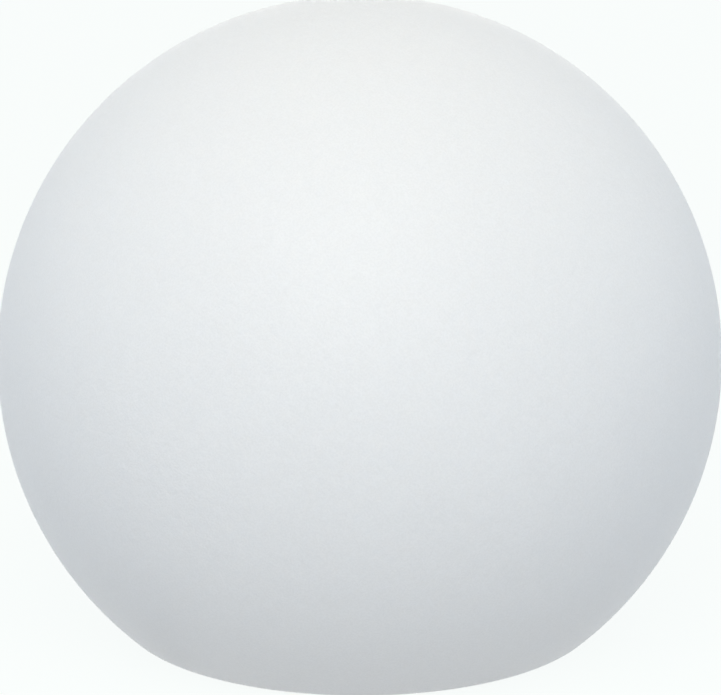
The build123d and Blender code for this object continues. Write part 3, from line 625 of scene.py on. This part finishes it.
def pan_head_screws(name, node, places):
    """Screws at the places, each standing with the seat of its head at the place."""
    head_radius = 2.8 * MM
    head_height = 2.0 * MM
    flat_radius = 2.0 * MM
    head_round = 1.0 * MM
    head_turn = radians(53.0)
    skirt_height = 0.3 * MM
    skirt_chamfer = 0.1 * MM
    shank_radius = 1.45 * MM
    root_radius = 1.05 * MM
    shank_length = 8.0 * MM
    thread_start = 0.4 * MM
    thread_pitch = 1.1 * MM
    thread_flank = 0.4 * thread_pitch
    thread_crest = 0.5 * thread_pitch
    arm_length = 1.35 * MM
    arm_half = 0.25 * MM
    recess_depth = 1.1 * MM
    recess_taper = 0.7
    bm = bmesh.new()
    tip = bm.verts.new((flat_radius, 0.0, head_height))
    tip = arc(bm, tip, flat_radius, head_height - head_round, head_turn, 5)
    tip = run(bm, tip, head_radius, skirt_height)
    tip = run(bm, tip, head_radius - skirt_chamfer, 0.0)
    tip = run(bm, tip, root_radius, 0.0)
    depth = thread_start
    while depth < shank_length - 2 * thread_pitch:
        tip = run(bm, tip, root_radius, -depth)
        tip = run(bm, tip, shank_radius, -depth - thread_flank)
        tip = run(bm, tip, shank_radius, -depth - thread_crest)
        depth += thread_pitch
    tip = run(bm, tip, root_radius, -depth)
    tip = run(bm, tip, 0.0, -shank_length)
    lathe(bm, 32)
    rim = [edge for edge in bm.edges if edge.is_boundary]
    cross = []
    for quarter in range(4):
        turn = Matrix.Rotation(quarter * pi / 2, 3, "Z")
        for x, y in ((arm_length, -arm_half), (arm_length, arm_half), (arm_half, arm_half)):
            cross.append(bm.verts.new(turn @ Vector((x, y, head_height))))
    mouth = [bm.edges.new((cross[index - 1], vert)) for index, vert in enumerate(cross)]
    sunk(bm, rim, mouth, recess_depth, recess_taper)
    set_out(bm, places)
    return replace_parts(finished(bm, name, "base", zinc_plate), node)


zinc_plate = bright_metal("zinc plate", paint(200, 201, 204), drawn=(1400.0, 1400.0, 1400.0))
standoff_circle = 24.3 * MM
boss_circle = 38.5 * MM
boss_turn = radians(35.0)
housing_floor = 2.0 * MM
housing_floor_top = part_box("engine_housing")[0].z + housing_floor
standoff = Matrix.Translation((standoff_circle, 0.0, board_top))
boss = Matrix.Translation((boss_circle, 0.0, housing_floor_top))
standoff_turns = [radians(30.0 + 120.0 * index) for index in range(3)]
boss_turns = [boss_turn, pi - boss_turn, pi + boss_turn, -boss_turn]
board_screw_places = [Matrix.Rotation(turn, 4, "Z") @ standoff for turn in standoff_turns]
housing_screw_places = [Matrix.Rotation(turn, 4, "Z") @ boss for turn in boss_turns]
pan_head_screws("board_screw_set", "board_screws", board_screw_places)
pan_head_screws("housing_screw_set", "housing_screws", housing_screw_places)


# Engine housing and battery door: the tube that carries the batteries, the lamp and the panel.
# Both moulded in white ABS; the door hangs on a steel pin and has ribs for the thumb.
housing_white = moulded("housing ABS", paint(236, 236, 233), roughness=0.4, grain_depth=0.008 * MM)
dress(housing_white, "engine_housing")
door_white = moulded("door ABS", paint(231, 232, 230), roughness=0.42, grain_depth=0.008 * MM)
dress(door_white, "battery_door")
dress(bright_metal("drawn pin wire", paint(190, 191, 194), ALONG_Z), "door_pin")


# Battery holder and contacts: a tray of three cradles that slides in behind the door.
# Black ABS; the contacts are stamped from nickel-plated spring strip and pressed into its ends.
holder_black = moulded("holder ABS", paint(36, 36, 38), roughness=0.46, grain_depth=0.01 * MM)
dress(holder_black, "battery_holder")
nickel_strip = bright_metal("nickel-plated strip", paint(208, 204, 195), ALONG_X)
dress(nickel_strip, "contact_leaves", "contact_plates")


# Battery cells: three rechargeable cells of the common size, joined in a row by their contacts.
# Drawn steel cans with a crimped shoulder, each in a plain shrink sleeve turned in at both ends.
def shrink_sleeve(name, colour, band, low, high, upward):
    """Shrink film: glossy, faintly rippled, with a pale band towards the button end."""
    band_low = 0.74
    band_high = 0.86
    finish = Finish(name, {"IOR": 1.5})
    z = finish.axes()[2]
    length = high.z - low.z
    height = (z - low.z) * (1.0 / length) if upward else (high.z - z) * (1.0 / length)
    banded = (height > band_low) * (height < band_high)
    ripple = finish.noise(1.0, detail=2.0, place=finish.stretched((420.0, 420.0, 90.0)))
    film = finish.mix(ripple, toned(colour, 0.9), toned(colour, 1.1))
    finish.wear({
        "Base Color": finish.mix(banded, film, band),
        "Roughness": 0.2 + 0.14 * ripple,
        "Normal": finish.bump(ripple, depth=0.05 * MM),
    })
    return finish


can_steel = bright_metal("nickel-plated can", paint(202, 201, 198), ALONG_Z)
cell_green = paint(60, 140, 92)
band_white = paint(226, 229, 226)
sleeve_radius = 7.25 * MM
sleeve_wall = 0.15 * MM
sleeve_lip = 0.9 * MM
sleeve_slack = 0.02 * MM
can_radius = sleeve_radius - sleeve_wall - sleeve_slack
can_round = 0.5 * MM
can_inset = 0.18 * MM
shoulder_radius = 5.4 * MM
dish_depth = 0.2 * MM
crimp_width = 0.2 * MM
nub_radius = 2.75 * MM
nub_height = 1.5 * MM
nub_round = 0.35 * MM

for number, upward in ((1, True), (2, False), (3, True)):
    node = f"battery_cell_{number}"
    low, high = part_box(node)
    cell_length = high.z - low.z
    can_length = cell_length - nub_height
    middle = (low + high) / 2
    place = Matrix.Translation((middle.x, middle.y, low.z))
    if not upward:
        place = Matrix.Translation((middle.x, middle.y, high.z)) @ Matrix.Rotation(pi, 4, "X")

    bm = bmesh.new()
    tip = bm.verts.new((0.0, 0.0, cell_length))
    tip = run(bm, tip, nub_radius - nub_round, cell_length)
    tip = arc(bm, tip, nub_radius - nub_round, cell_length - nub_round, pi / 2, 4)
    tip = run(bm, tip, nub_radius, can_length - dish_depth)
    tip = run(bm, tip, shoulder_radius, can_length - dish_depth)
    tip = run(bm, tip, shoulder_radius + crimp_width, can_length - sleeve_slack)
    tip = run(bm, tip, can_radius - can_round, can_length - can_inset)
    tip = arc(bm, tip, can_radius - can_round, can_length - can_inset - can_round, pi / 2, 4)
    tip = run(bm, tip, can_radius, can_round + can_inset)
    tip = arc(bm, tip, can_radius - can_round, can_round + can_inset, pi / 2, 4)
    tip = run(bm, tip, shoulder_radius, can_inset)
    tip = run(bm, tip, shoulder_radius - crimp_width, 0.0)
    tip = run(bm, tip, 0.0, 0.0)
    lathe(bm, 48)
    set_out(bm, [place])
    finished(bm, f"battery_can_{number}", "base", can_steel)

    bm = bmesh.new()
    inner_round = can_round + sleeve_slack
    outer_round = inner_round + sleeve_wall
    sleeve_corner = sleeve_radius - outer_round
    tip = bm.verts.new((sleeve_corner - sleeve_lip, 0.0, can_length))
    tip = run(bm, tip, sleeve_corner, can_length)
    tip = arc(bm, tip, sleeve_corner, can_length - outer_round, pi / 2, 5)
    tip = run(bm, tip, sleeve_radius, outer_round)
    tip = arc(bm, tip, sleeve_corner, outer_round, pi / 2, 5)
    tip = run(bm, tip, sleeve_corner - sleeve_lip, 0.0)
    tip = run(bm, tip, sleeve_corner - sleeve_lip, sleeve_wall)
    tip = run(bm, tip, sleeve_corner, sleeve_wall)
    tip = arc(bm, tip, sleeve_corner, outer_round, -pi / 2, 5)
    tip = run(bm, tip, sleeve_radius - sleeve_wall, can_length - outer_round)
    tip = arc(bm, tip, sleeve_corner, can_length - outer_round, -pi / 2, 5)
    tip = run(bm, tip, sleeve_corner - sleeve_lip, can_length - sleeve_wall)
    tip = run(bm, tip, sleeve_corner - sleeve_lip, can_length)
    lathe(bm, 48)
    set_out(bm, [place])
    cell_film = shrink_sleeve(f"cell sleeve {number}", cell_green, band_white, low, high, upward)
    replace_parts(finished(bm, f"battery_sleeve_{number}", "base", cell_film), node)


# Panel frame and lamp board: the cup that holds the solar panel, and the ring of light round it.
# The frame is white ABS; the board is aluminium under white solder mask, clamped by the lens.
frame_white = moulded("frame ABS", paint(237, 237, 234), roughness=0.38, grain_depth=0.006 * MM)
dress(frame_white, "panel_frame")

lamp_board_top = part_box("led_board")[1].z
led_circle = 40.5 * MM
led_count = 8
led_turns = [Matrix.Rotation(2 * pi * index / led_count, 4, "Z") for index in range(led_count)]
led_spots = [turn @ Vector((led_circle, 0.0, lamp_board_top)) for turn in led_turns]
led_pad = 3.1 * MM
rail_offset = 1.7 * MM
rail_half = 0.35 * MM
mask_white = paint(232, 234, 234)
rail_grey = paint(206, 209, 207)

lamp_mask = Finish("white solder mask", {"IOR": 1.5})
x, y, z = lamp_mask.axes()
from_circle = abs((x * x + y * y) ** 0.5 - led_circle)
rails = abs(from_circle - rail_offset) < rail_half
chalk = lamp_mask.noise(1500.0, detail=2.0)
tinned = 0.0
for spot in led_spots:
    tinned = tinned + (lamp_mask.distance(spot) < led_pad)
enamel_white = lamp_mask.mix(chalk, toned(mask_white, 0.95), toned(mask_white, 1.03))
lamp_mask.wear({
    "Base Color": lamp_mask.mix(tinned, lamp_mask.mix(rails, enamel_white, rail_grey), solder_tin),
    "Metallic": tinned,
    "Roughness": 0.34 + 0.12 * chalk,
    "Normal": lamp_mask.bump(rails + 0.1 * chalk, depth=0.03 * MM),
})
dress(lamp_mask, "led_board")


# Lamp diodes: eight square packages soldered round the board.
# White moulded cups on tinned legs, each filled with clear resin over a yellow phosphor.
package_half = 2.5 * MM
package_top = 1.6 * MM
package_foot = 0.15 * MM
package_corner = 0.35 * MM
well_radius = 2.0 * MM
well_floor = 1.2 * MM
well_taper = 0.86
resin_top = package_top - 0.08 * MM
resin_foot = well_floor + 0.01 * MM
resin_sag = 0.06 * MM
package_white = moulded(
    "package polyamide", paint(240, 240, 238), roughness=0.36, grain_depth=0.004 * MM
)

phosphor = Finish("resin over phosphor", {"IOR": 1.53, "Coat Weight": 0.8, "Coat Roughness": 0.06})
grains = phosphor.noise(5200.0, detail=3.0)
phosphor.wear({
    "Base Color": phosphor.mix(grains, paint(226, 190, 74), paint(247, 226, 122)),
    "Roughness": 0.3 + 0.2 * grains,
    "Normal": phosphor.bump(grains, depth=0.004 * MM),
})

led_places = [turn @ Matrix.Translation((led_circle, 0.0, lamp_board_top)) for turn in led_turns]
bm = bmesh.new()
package_sides = (2 * package_half, 2 * package_half, package_top - package_foot)
block(bm, (0.0, 0.0, (package_top + package_foot) / 2), package_sides)
upright = [edge for edge in bm.edges if abs(edge.verts[0].co.z - edge.verts[1].co.z) > merge_gap]
bevelled(bm, upright, package_corner, segments=3)
lid = max(bm.faces, key=lambda face: face.calc_center_median().z)
square = lid.edges[:]
bmesh.ops.delete(bm, geom=[lid], context="FACES_ONLY")
brim_place = Matrix.Translation((0.0, 0.0, package_top))
brim_points = bmesh.ops.create_circle(bm, segments=32, radius=well_radius, matrix=brim_place)["verts"]
brim = list({edge for vert in brim_points for edge in vert.link_edges})
sunk(bm, square, brim, package_top - well_floor, well_taper)
set_out(bm, led_places)
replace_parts(finished(bm, "led_packages", "base", package_white), "leds")

bm = bmesh.new()
tip = bm.verts.new((0.0, 0.0, resin_top - resin_sag))
tip = run(bm, tip, 0.6 * well_radius, resin_top - 2 / 3 * resin_sag)
tip = run(bm, tip, 0.955 * well_radius, resin_top)
tip = run(bm, tip, 0.85 * well_radius, resin_foot)
tip = run(bm, tip, 0.0, resin_foot)
lathe(bm, 32)
set_out(bm, led_places)
finished(bm, "led_resin", "base", phosphor)

led_leg_pitch = 1.6 * MM
led_leg_gauge = 0.14 * MM
led_leg_places = [
    place @ Matrix.Rotation(turn, 4, "Z")
    @ Matrix.Translation((row * led_leg_pitch, -package_half, 0.75 * led_leg_gauge))
    for place in led_places
    for turn in (0.0, pi)
    for row in (-1, 0, 1)
]
legs(
    "led_legs", led_leg_places,
    out=0.12 * MM, drop=0.5 * MM, foot=0.4 * MM, width=0.8 * MM, gauge=led_leg_gauge,
)


# Lens ring: the clear arch over the diodes, clipped between the housing and the frame.
# Moulded in polycarbonate, polished on both faces.
def clear_plastic(name, tint, roughness):
    """Clear plastic: lets the view through; its near face mirrors more the flatter it is seen."""
    finish = Finish(name, {})
    through = finish.node("ShaderNodeBsdfTransparent", {}, {"Color": tint})
    mirror = finish.node("ShaderNodeBsdfGlossy", {}, {"Roughness": roughness})
    facing = finish.node("ShaderNodeLayerWeight", {}, {}, "Facing")
    near = 1.0 - finish.node("ShaderNodeNewGeometry", {}, {}, "Backfacing")
    gleam = near * (0.04 + 0.9 * facing ** 5.0 + 0.02 * finish.noise(160.0, detail=2.0))
    finish.show(finish.node("ShaderNodeMixShader", {}, {0: gleam, 1: through, 2: mirror}))
    finish.tree.nodes.remove(finish.shader)
    return finish


lens_low, lens_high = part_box("lens_ring")
lens_wall = 1.3 * MM
lens_round = 3.2 * MM
hollow_round = lens_round - lens_wall
lens_lift = 0.05 * MM
lens_foot = lens_low.z + lens_lift
lens_half = lens_high.x - led_circle
hollow_half = lens_half - lens_wall
bend_height = lens_high.z - lens_round
bend_outer = led_circle + lens_half - lens_round
bend_inner = led_circle - lens_half + lens_round

bm = bmesh.new()
tip = bm.verts.new((led_circle + lens_half, 0.0, lens_foot))
tip = run(bm, tip, led_circle + lens_half, bend_height)
tip = arc(bm, tip, bend_outer, bend_height, -pi / 2, 10)
tip = run(bm, tip, bend_inner, lens_high.z)
tip = arc(bm, tip, bend_inner, bend_height, -pi / 2, 10)
tip = run(bm, tip, led_circle - lens_half, lens_foot)
tip = run(bm, tip, led_circle - hollow_half, lens_foot)
tip = run(bm, tip, led_circle - hollow_half, bend_height)
tip = arc(bm, tip, bend_inner, bend_height, pi / 2, 8)
tip = run(bm, tip, bend_outer, bend_height + hollow_round)
tip = arc(bm, tip, bend_outer, bend_height, pi / 2, 8)
tip = run(bm, tip, led_circle + hollow_half, lens_foot)
tip = run(bm, tip, led_circle + lens_half, lens_foot)
lathe(bm, 120)
polycarbonate = clear_plastic("clear polycarbonate", (0.94, 0.95, 0.96, 1.0), roughness=0.05)
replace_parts(finished(bm, "lens_arch", "base", polycarbonate), "lens_ring")


# Solar panel: a foam ring, a white backing board and eight strips of silicon in a row.
# The strips carry printed silver fingers, and tinned ribbons join the end of each to the next.
foam = Finish("foam rubber", {"Specular IOR Level": 0.2})
cells = foam.node("ShaderNodeTexVoronoi", {}, {"Vector": foam.place, "Scale": 2200.0})
foam.wear({
    "Base Color": foam.mix(cells, paint(30, 30, 31), paint(66, 66, 68)),
    "Roughness": 0.8 + 0.15 * cells,
    "Normal": foam.bump(cells, depth=0.15 * MM),
})
dress(foam, "panel_gasket")

backing = Finish("glass laminate", {"IOR": 1.5})
weave = {"Vector": backing.place, "Scale": 420.0}
warp = backing.node("ShaderNodeTexWave", {"bands_direction": "X"}, weave, "Fac")
weft = backing.node("ShaderNodeTexWave", {"bands_direction": "Y"}, weave, "Fac")
backing.wear({
    "Base Color": backing.mix(0.5 * warp + 0.5 * weft, paint(218, 220, 220), paint(232, 233, 232)),
    "Roughness": 0.38 + 0.1 * warp,
    "Normal": backing.bump(warp * weft, depth=0.01 * MM),
})
dress(backing, "solar_backing")

panel_low, panel_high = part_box("solar_cells")
strip_count = 8
strip_gap = 0.8 * MM
panel_reach = (panel_high.x - panel_low.x) / 2
strip_pitch = (panel_high.y - panel_low.y + strip_gap) / strip_count
finger_pitch = 1.6 * MM
finger_width = 0.14 * MM
bus_width = 0.9 * MM
ribbon_inset = 3.2 * MM
ribbon_width = 2.0 * MM
ribbon_gauge = 0.08 * MM
ribbon_lift = 0.04 * MM
ribbon_step = 0.21 * strip_pitch

silicon = Finish("silicon strips", {"Specular IOR Level": 0.2})
x, y, z = silicon.axes()
within = (y - panel_low.y) % strip_pitch
finger = abs(x % finger_pitch - finger_pitch / 2) < finger_width / 2
bus = abs(within - 0.5 * strip_pitch + 0.5 * strip_gap) < bus_width / 2
printed = 1.0 - (1.0 - finger) * (1.0 - bus)
crystal = silicon.node("ShaderNodeTexVoronoi", {}, {"Vector": silicon.place, "Scale": 190.0}, "Color")
grain_shade = silicon.node("ShaderNodeSeparateColor", {}, {"Color": crystal})
silicon_blue = silicon.mix(grain_shade, paint(18, 26, 58), paint(34, 48, 92))
silicon.wear({
    "Base Color": silicon.mix(printed, silicon_blue, paint(178, 182, 188)),
    "Metallic": 0.6 * printed,
    "Roughness": 0.2 + 0.16 * printed + 0.1 * grain_shade,
    "Normal": silicon.bump(printed, depth=0.01 * MM),
})
dress(silicon, "solar_cells")

bm = bmesh.new()
for seam in range(1, strip_count):
    seam_y = panel_low.y - strip_gap / 2 + seam * strip_pitch
    side = 1 if seam % 2 else -1
    reach = sqrt(panel_reach**2 - (abs(seam_y) + strip_pitch / 2) ** 2)
    start = (side * (reach - ribbon_inset), seam_y - 2 * ribbon_step, panel_high.z + ribbon_lift)
    strip(bm, start, (ribbon_width, 0.0, 0.0), [(0.0, ribbon_step, 0.0)] * 4)
bmesh.ops.recalc_face_normals(bm, faces=bm.faces)
bmesh.ops.solidify(bm, geom=bm.faces[:], thickness=ribbon_gauge)
finished(bm, "cell_ribbons", "base", bright_solder)


# Window and bezel: the clear disc over the cells and the ring that clips it into the frame.
# The disc is cast resin with a rounded edge, the bezel white ABS.
window_low, window_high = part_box("solar_window")
window_radius = (window_high.x - window_low.x) / 2
window_lift = 0.2 * MM
window_foot = window_low.z + window_lift
window_round = 0.4 * MM

bm = bmesh.new()
tip = bm.verts.new((0.0, 0.0, window_high.z))
tip = run(bm, tip, window_radius - window_round, window_high.z)
tip = arc(bm, tip, window_radius - window_round, window_high.z - window_round, pi / 2, 5)
tip = run(bm, tip, window_radius, window_foot)
tip = run(bm, tip, 0.0, window_foot)
lathe(bm, 96)
window_resin = clear_plastic("clear resin", (0.95, 0.96, 0.98, 1.0), roughness=0.08)
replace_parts(finished(bm, "panel_window", "base", window_resin), "solar_window")

bezel_white = moulded("bezel ABS", paint(236, 236, 233), roughness=0.36, grain_depth=0.006 * MM)
dress(bezel_white, "panel_bezel")


# Leads: three pairs of wires, from the panel, the lamp ring and the batteries down to the board.
# Stranded copper in PVC, red and black.
def insulation(name, colour):
    """Soft PVC: glossy, a little uneven where it was drawn over the strands."""
    finish = Finish(name, {"IOR": 1.53})
    waver = finish.noise(700.0, detail=3.0)
    finish.wear({
        "Base Color": finish.mix(waver, toned(colour, 0.8), toned(colour, 1.15)),
        "Roughness": 0.28 + 0.18 * waver,
        "Normal": finish.bump(waver, depth=0.03 * MM),
    })
    return finish


for colour_name, colour in (("red", paint(186, 38, 36)), ("black", paint(34, 34, 35))):
    leads = [f"{lead}_{colour_name}" for lead in lead_landings]
    dress(insulation(f"{colour_name} insulation", colour), *leads)


# Neck collar: the mouth ring welded into the globe, with the lugs that the lock ring holds.
# Injection moulded in white polyethylene, so that it welds to the globe's own plastic.
collar_white = moulded("collar polyethylene", paint(234, 235, 233), roughness=0.44, grain_depth=0.01 * MM)
dress(collar_white, "neck_collar")


# Globe: the hollow opal skin, flat below, that floats and scatters the light.
# Rotationally moulded in milky polyethylene, so its wall is even, its surface satin and softly
# wavy, and a trimmed parting line runs round its middle. The foot is scuffed.
globe_low, globe_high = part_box("globe_shell")
globe_radius = (globe_high.x - globe_low.x) / 2
globe_middle = globe_high.z - globe_radius
globe_wall = 3.0 * MM
edge_radius = 10.2 * MM
foot_radius = 93.6 * MM
recess_radius = 77.8 * MM
recess_depth = 14.9 * MM
lip_radius = 4.0 * MM
root_radius = 2.0 * MM
mouth_radius = 52.05 * MM
parting_half = 0.5 * MM
parting_depth = 0.035 * MM
skin_grain = 0.3 * MM
scuff_low = 0.2 * MM
scuff_high = 1.4 * MM

edge_turn = pi / 2 - atan2(globe_middle - edge_radius, foot_radius)
ball_turn = pi - edge_turn
parting_turn = parting_half / globe_radius
lip_middle = recess_radius + lip_radius
root_middle = recess_radius - root_radius
root_height = recess_depth - root_radius
roof_top = recess_depth + globe_wall

bm = bmesh.new()
tip = bm.verts.new((0.0, 0.0, globe_high.z))
tip = arc(bm, tip, 0.0, globe_middle, pi / 2 - 3 * parting_turn, 60)
tip = arc(bm, tip, 0.0, globe_middle, 2 * parting_turn, 2)
tip = run(bm, tip, globe_radius - parting_depth, globe_middle)
tip = run(bm, tip, globe_radius * cos(parting_turn), globe_middle - globe_radius * sin(parting_turn))
tip = arc(bm, tip, 0.0, globe_middle, 2 * parting_turn, 2)
tip = arc(bm, tip, 0.0, globe_middle, ball_turn - pi / 2 - 3 * parting_turn, 32)
tip = arc(bm, tip, foot_radius, edge_radius, edge_turn, 12)
tip = run(bm, tip, lip_middle, 0.0)
tip = arc(bm, tip, lip_middle, lip_radius, pi / 2, 10)
tip = run(bm, tip, recess_radius, root_height)
tip = arc(bm, tip, root_middle, root_height, -pi / 2, 8)
tip = run(bm, tip, mouth_radius, recess_depth)
tip = run(bm, tip, mouth_radius, roof_top)
tip = run(bm, tip, root_middle, roof_top)
tip = arc(bm, tip, root_middle, root_height, pi / 2, 10)
tip = run(bm, tip, recess_radius + globe_wall, lip_radius)
tip = arc(bm, tip, lip_middle, lip_radius, -pi / 2, 6)
tip = run(bm, tip, foot_radius, globe_wall)
tip = arc(bm, tip, foot_radius, edge_radius, -edge_turn, 10)
tip = arc(bm, tip, 0.0, globe_middle, -ball_turn, 64)
lathe(bm, 160)

opal_white = (0.885, 0.89, 0.895, 1.0)
opal = Finish("opal polyethylene", {
    "IOR": 1.5,
    "Specular IOR Level": 0.3,
    "Subsurface Weight": 0.7,
    "Subsurface Radius": (1.0, 0.95, 0.9),
    "Subsurface Scale": 6.0 * MM,
})
milk = opal.noise(9.0, detail=3.0)
satin = opal.noise(70.0, detail=3.0)
peel = opal.noise(240.0, detail=2.0)
pores = opal.noise(1300.0, detail=3.0)
scuff = opal.scuffs(scuff_low, scuff_high)
fleck = opal.rise(pores, 0.36, 0.64)
skin = opal.mix(0.5 * milk + 0.5 * fleck, toned(opal_white, 0.965), toned(opal_white, 1.03))
opal.wear({
    "Base Color": opal.mix(0.4 * scuff, skin, toned(opal_white, 0.72)),
    "Roughness": 0.46 + 0.12 * (satin - 0.5) + 0.15 * scuff,
    "Normal": opal.bump(peel + 0.4 * pores, depth=skin_grain),
})
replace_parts(finished(bm, "globe_skin", "globe", opal), "globe_shell")


# Lock ring: the fluted ring, turned by hand, whose hooks draw the base up into the neck.
# Injection moulded in grey polypropylene, scuffed on the face that it is set down on, with a line
# printed there that points to the marks on the base.
pointer_start = 53.4 * MM
pointer_end = 58.6 * MM
pointer_half = 0.45 * MM
print_top = 0.1 * MM
ring_grey = moulded(
    "lock ring polypropylene", paint(206, 208, 211), roughness=0.48, grain_depth=0.012 * MM,
    scuff_top=1.6 * MM,
)
x, y, z = ring_grey.axes()
pointer = (x > pointer_start) * (x < pointer_end) * (abs(y) < pointer_half) * (z < print_top)
dress(inked(ring_grey, pointer, mark_grey), "lock_ring")


# Studio: a plain white floor that keeps the shadow, a broad soft lamp above the camera, a weaker
# one behind and an even sky. The floor lies a hair below the foot, so that no two faces share a
# plane, and lets the view through from below, so that the underside can be seen.
floor_half = 8.0
floor_gap = 0.05 * MM
floor_glow = 0.9
studio_white = (0.97, 1.0, 0.99, 1.0)

bm = bmesh.new()
bmesh.ops.create_grid(bm, x_segments=1, y_segments=1, size=floor_half)
bmesh.ops.translate(bm, verts=bm.verts, vec=(0.0, 0.0, -floor_gap))
floor_mesh = bpy.data.meshes.new("studio_floor")
bm.to_mesh(floor_mesh)
bm.free()
floor = bpy.data.objects.new("studio_floor", floor_mesh)
bpy.context.scene.collection.objects.link(floor)
floor.visible_diffuse = False
floor.visible_shadow = False

paper = Finish("floor paper", {
    "Base Color": (0.94, 0.97, 0.96, 1.0),
    "Roughness": 1.0,
    "Specular IOR Level": 0.0,
})
shaded = Tone(paper, paper.shader.outputs[0])
glow = paper.node("ShaderNodeEmission", {}, {"Color": studio_white})
lit = paper.node("ShaderNodeMixShader", {}, {0: floor_glow * paper.seen(), 1: shaded, 2: glow})
below = paper.node("ShaderNodeNewGeometry", {}, {}, "Backfacing")
through = paper.node("ShaderNodeBsdfTransparent", {}, {})
paper.show(paper.node("ShaderNodeMixShader", {}, {0: below, 1: lit, 2: through}))
floor_mesh.materials.append(paper.material)

sky_low = (0.55, 0.51, 0.445, 1.0)
sky_side = (0.63, 0.72, 0.83, 1.0)
sky_high = (0.64, 0.63, 0.6, 1.0)
world = bpy.data.worlds.new("studio sky")
bpy.context.scene.world = world
sky = Nodes(world)
towards = sky.node("ShaderNodeTexCoord", {}, {}, "Generated")
upward = sky.node("ShaderNodeSeparateXYZ", {}, {"Vector": towards}, "Z")
daylight = sky.mix(0.0 - upward, sky.mix(upward, sky_side, sky_high), sky_low)
sky.feed(sky.tree.nodes["Background"].inputs["Color"], sky.mix(sky.seen(), daylight, studio_white))

aim = Vector((0.0, 0.0, globe_middle))


def swung(distance, elevation, aside):
    """A point in front of the globe, a distance from its middle, raised and swung to the right."""
    level = cos(elevation)
    return aim + distance * Vector((level * sin(aside), -level * cos(aside), sin(elevation)))


def soft_box(name, size, energy, colour, place):
    """A round soft lamp that faces the globe and isn't seen itself."""
    lamp_data = bpy.data.lights.new(name, "AREA")
    lamp_data.shape = "DISK"
    lamp_data.size = size
    lamp_data.energy = energy
    lamp_data.color = colour
    lamp = bpy.data.objects.new(name, lamp_data)
    lamp.location = place
    lamp.rotation_euler = (aim - place).to_track_quat("-Z", "Y").to_euler()
    lamp.visible_camera = False
    bpy.context.scene.collection.objects.link(lamp)


lamp_distance = 2.5
front_place = swung(lamp_distance, elevation=radians(43.0), aside=radians(-3.0))
back_place = swung(lamp_distance, elevation=radians(-8.0), aside=pi)
soft_box("front_lamp", size=2.4, energy=31.0, colour=(1.0, 0.955, 0.86), place=front_place)
soft_box("back_lamp", size=1.8, energy=9.0, colour=(1.0, 0.95, 0.86), place=back_place)

camera_data = bpy.data.cameras.new("camera")
camera_data.lens = 180.0
camera_data.sensor_width = 36.0
camera = bpy.data.objects.new("camera", camera_data)
camera.location = swung(10 * globe_radius, elevation=radians(15.0), aside=0.0)
frame_middle = aim + Vector((0.3 * MM, 0.0, 4.2 * MM))
camera.rotation_euler = (frame_middle - camera.location).to_track_quat("-Z", "Y").to_euler()
bpy.context.scene.collection.objects.link(camera)
bpy.context.scene.camera = camera
bpy.context.scene.view_settings.view_transform = "Standard"
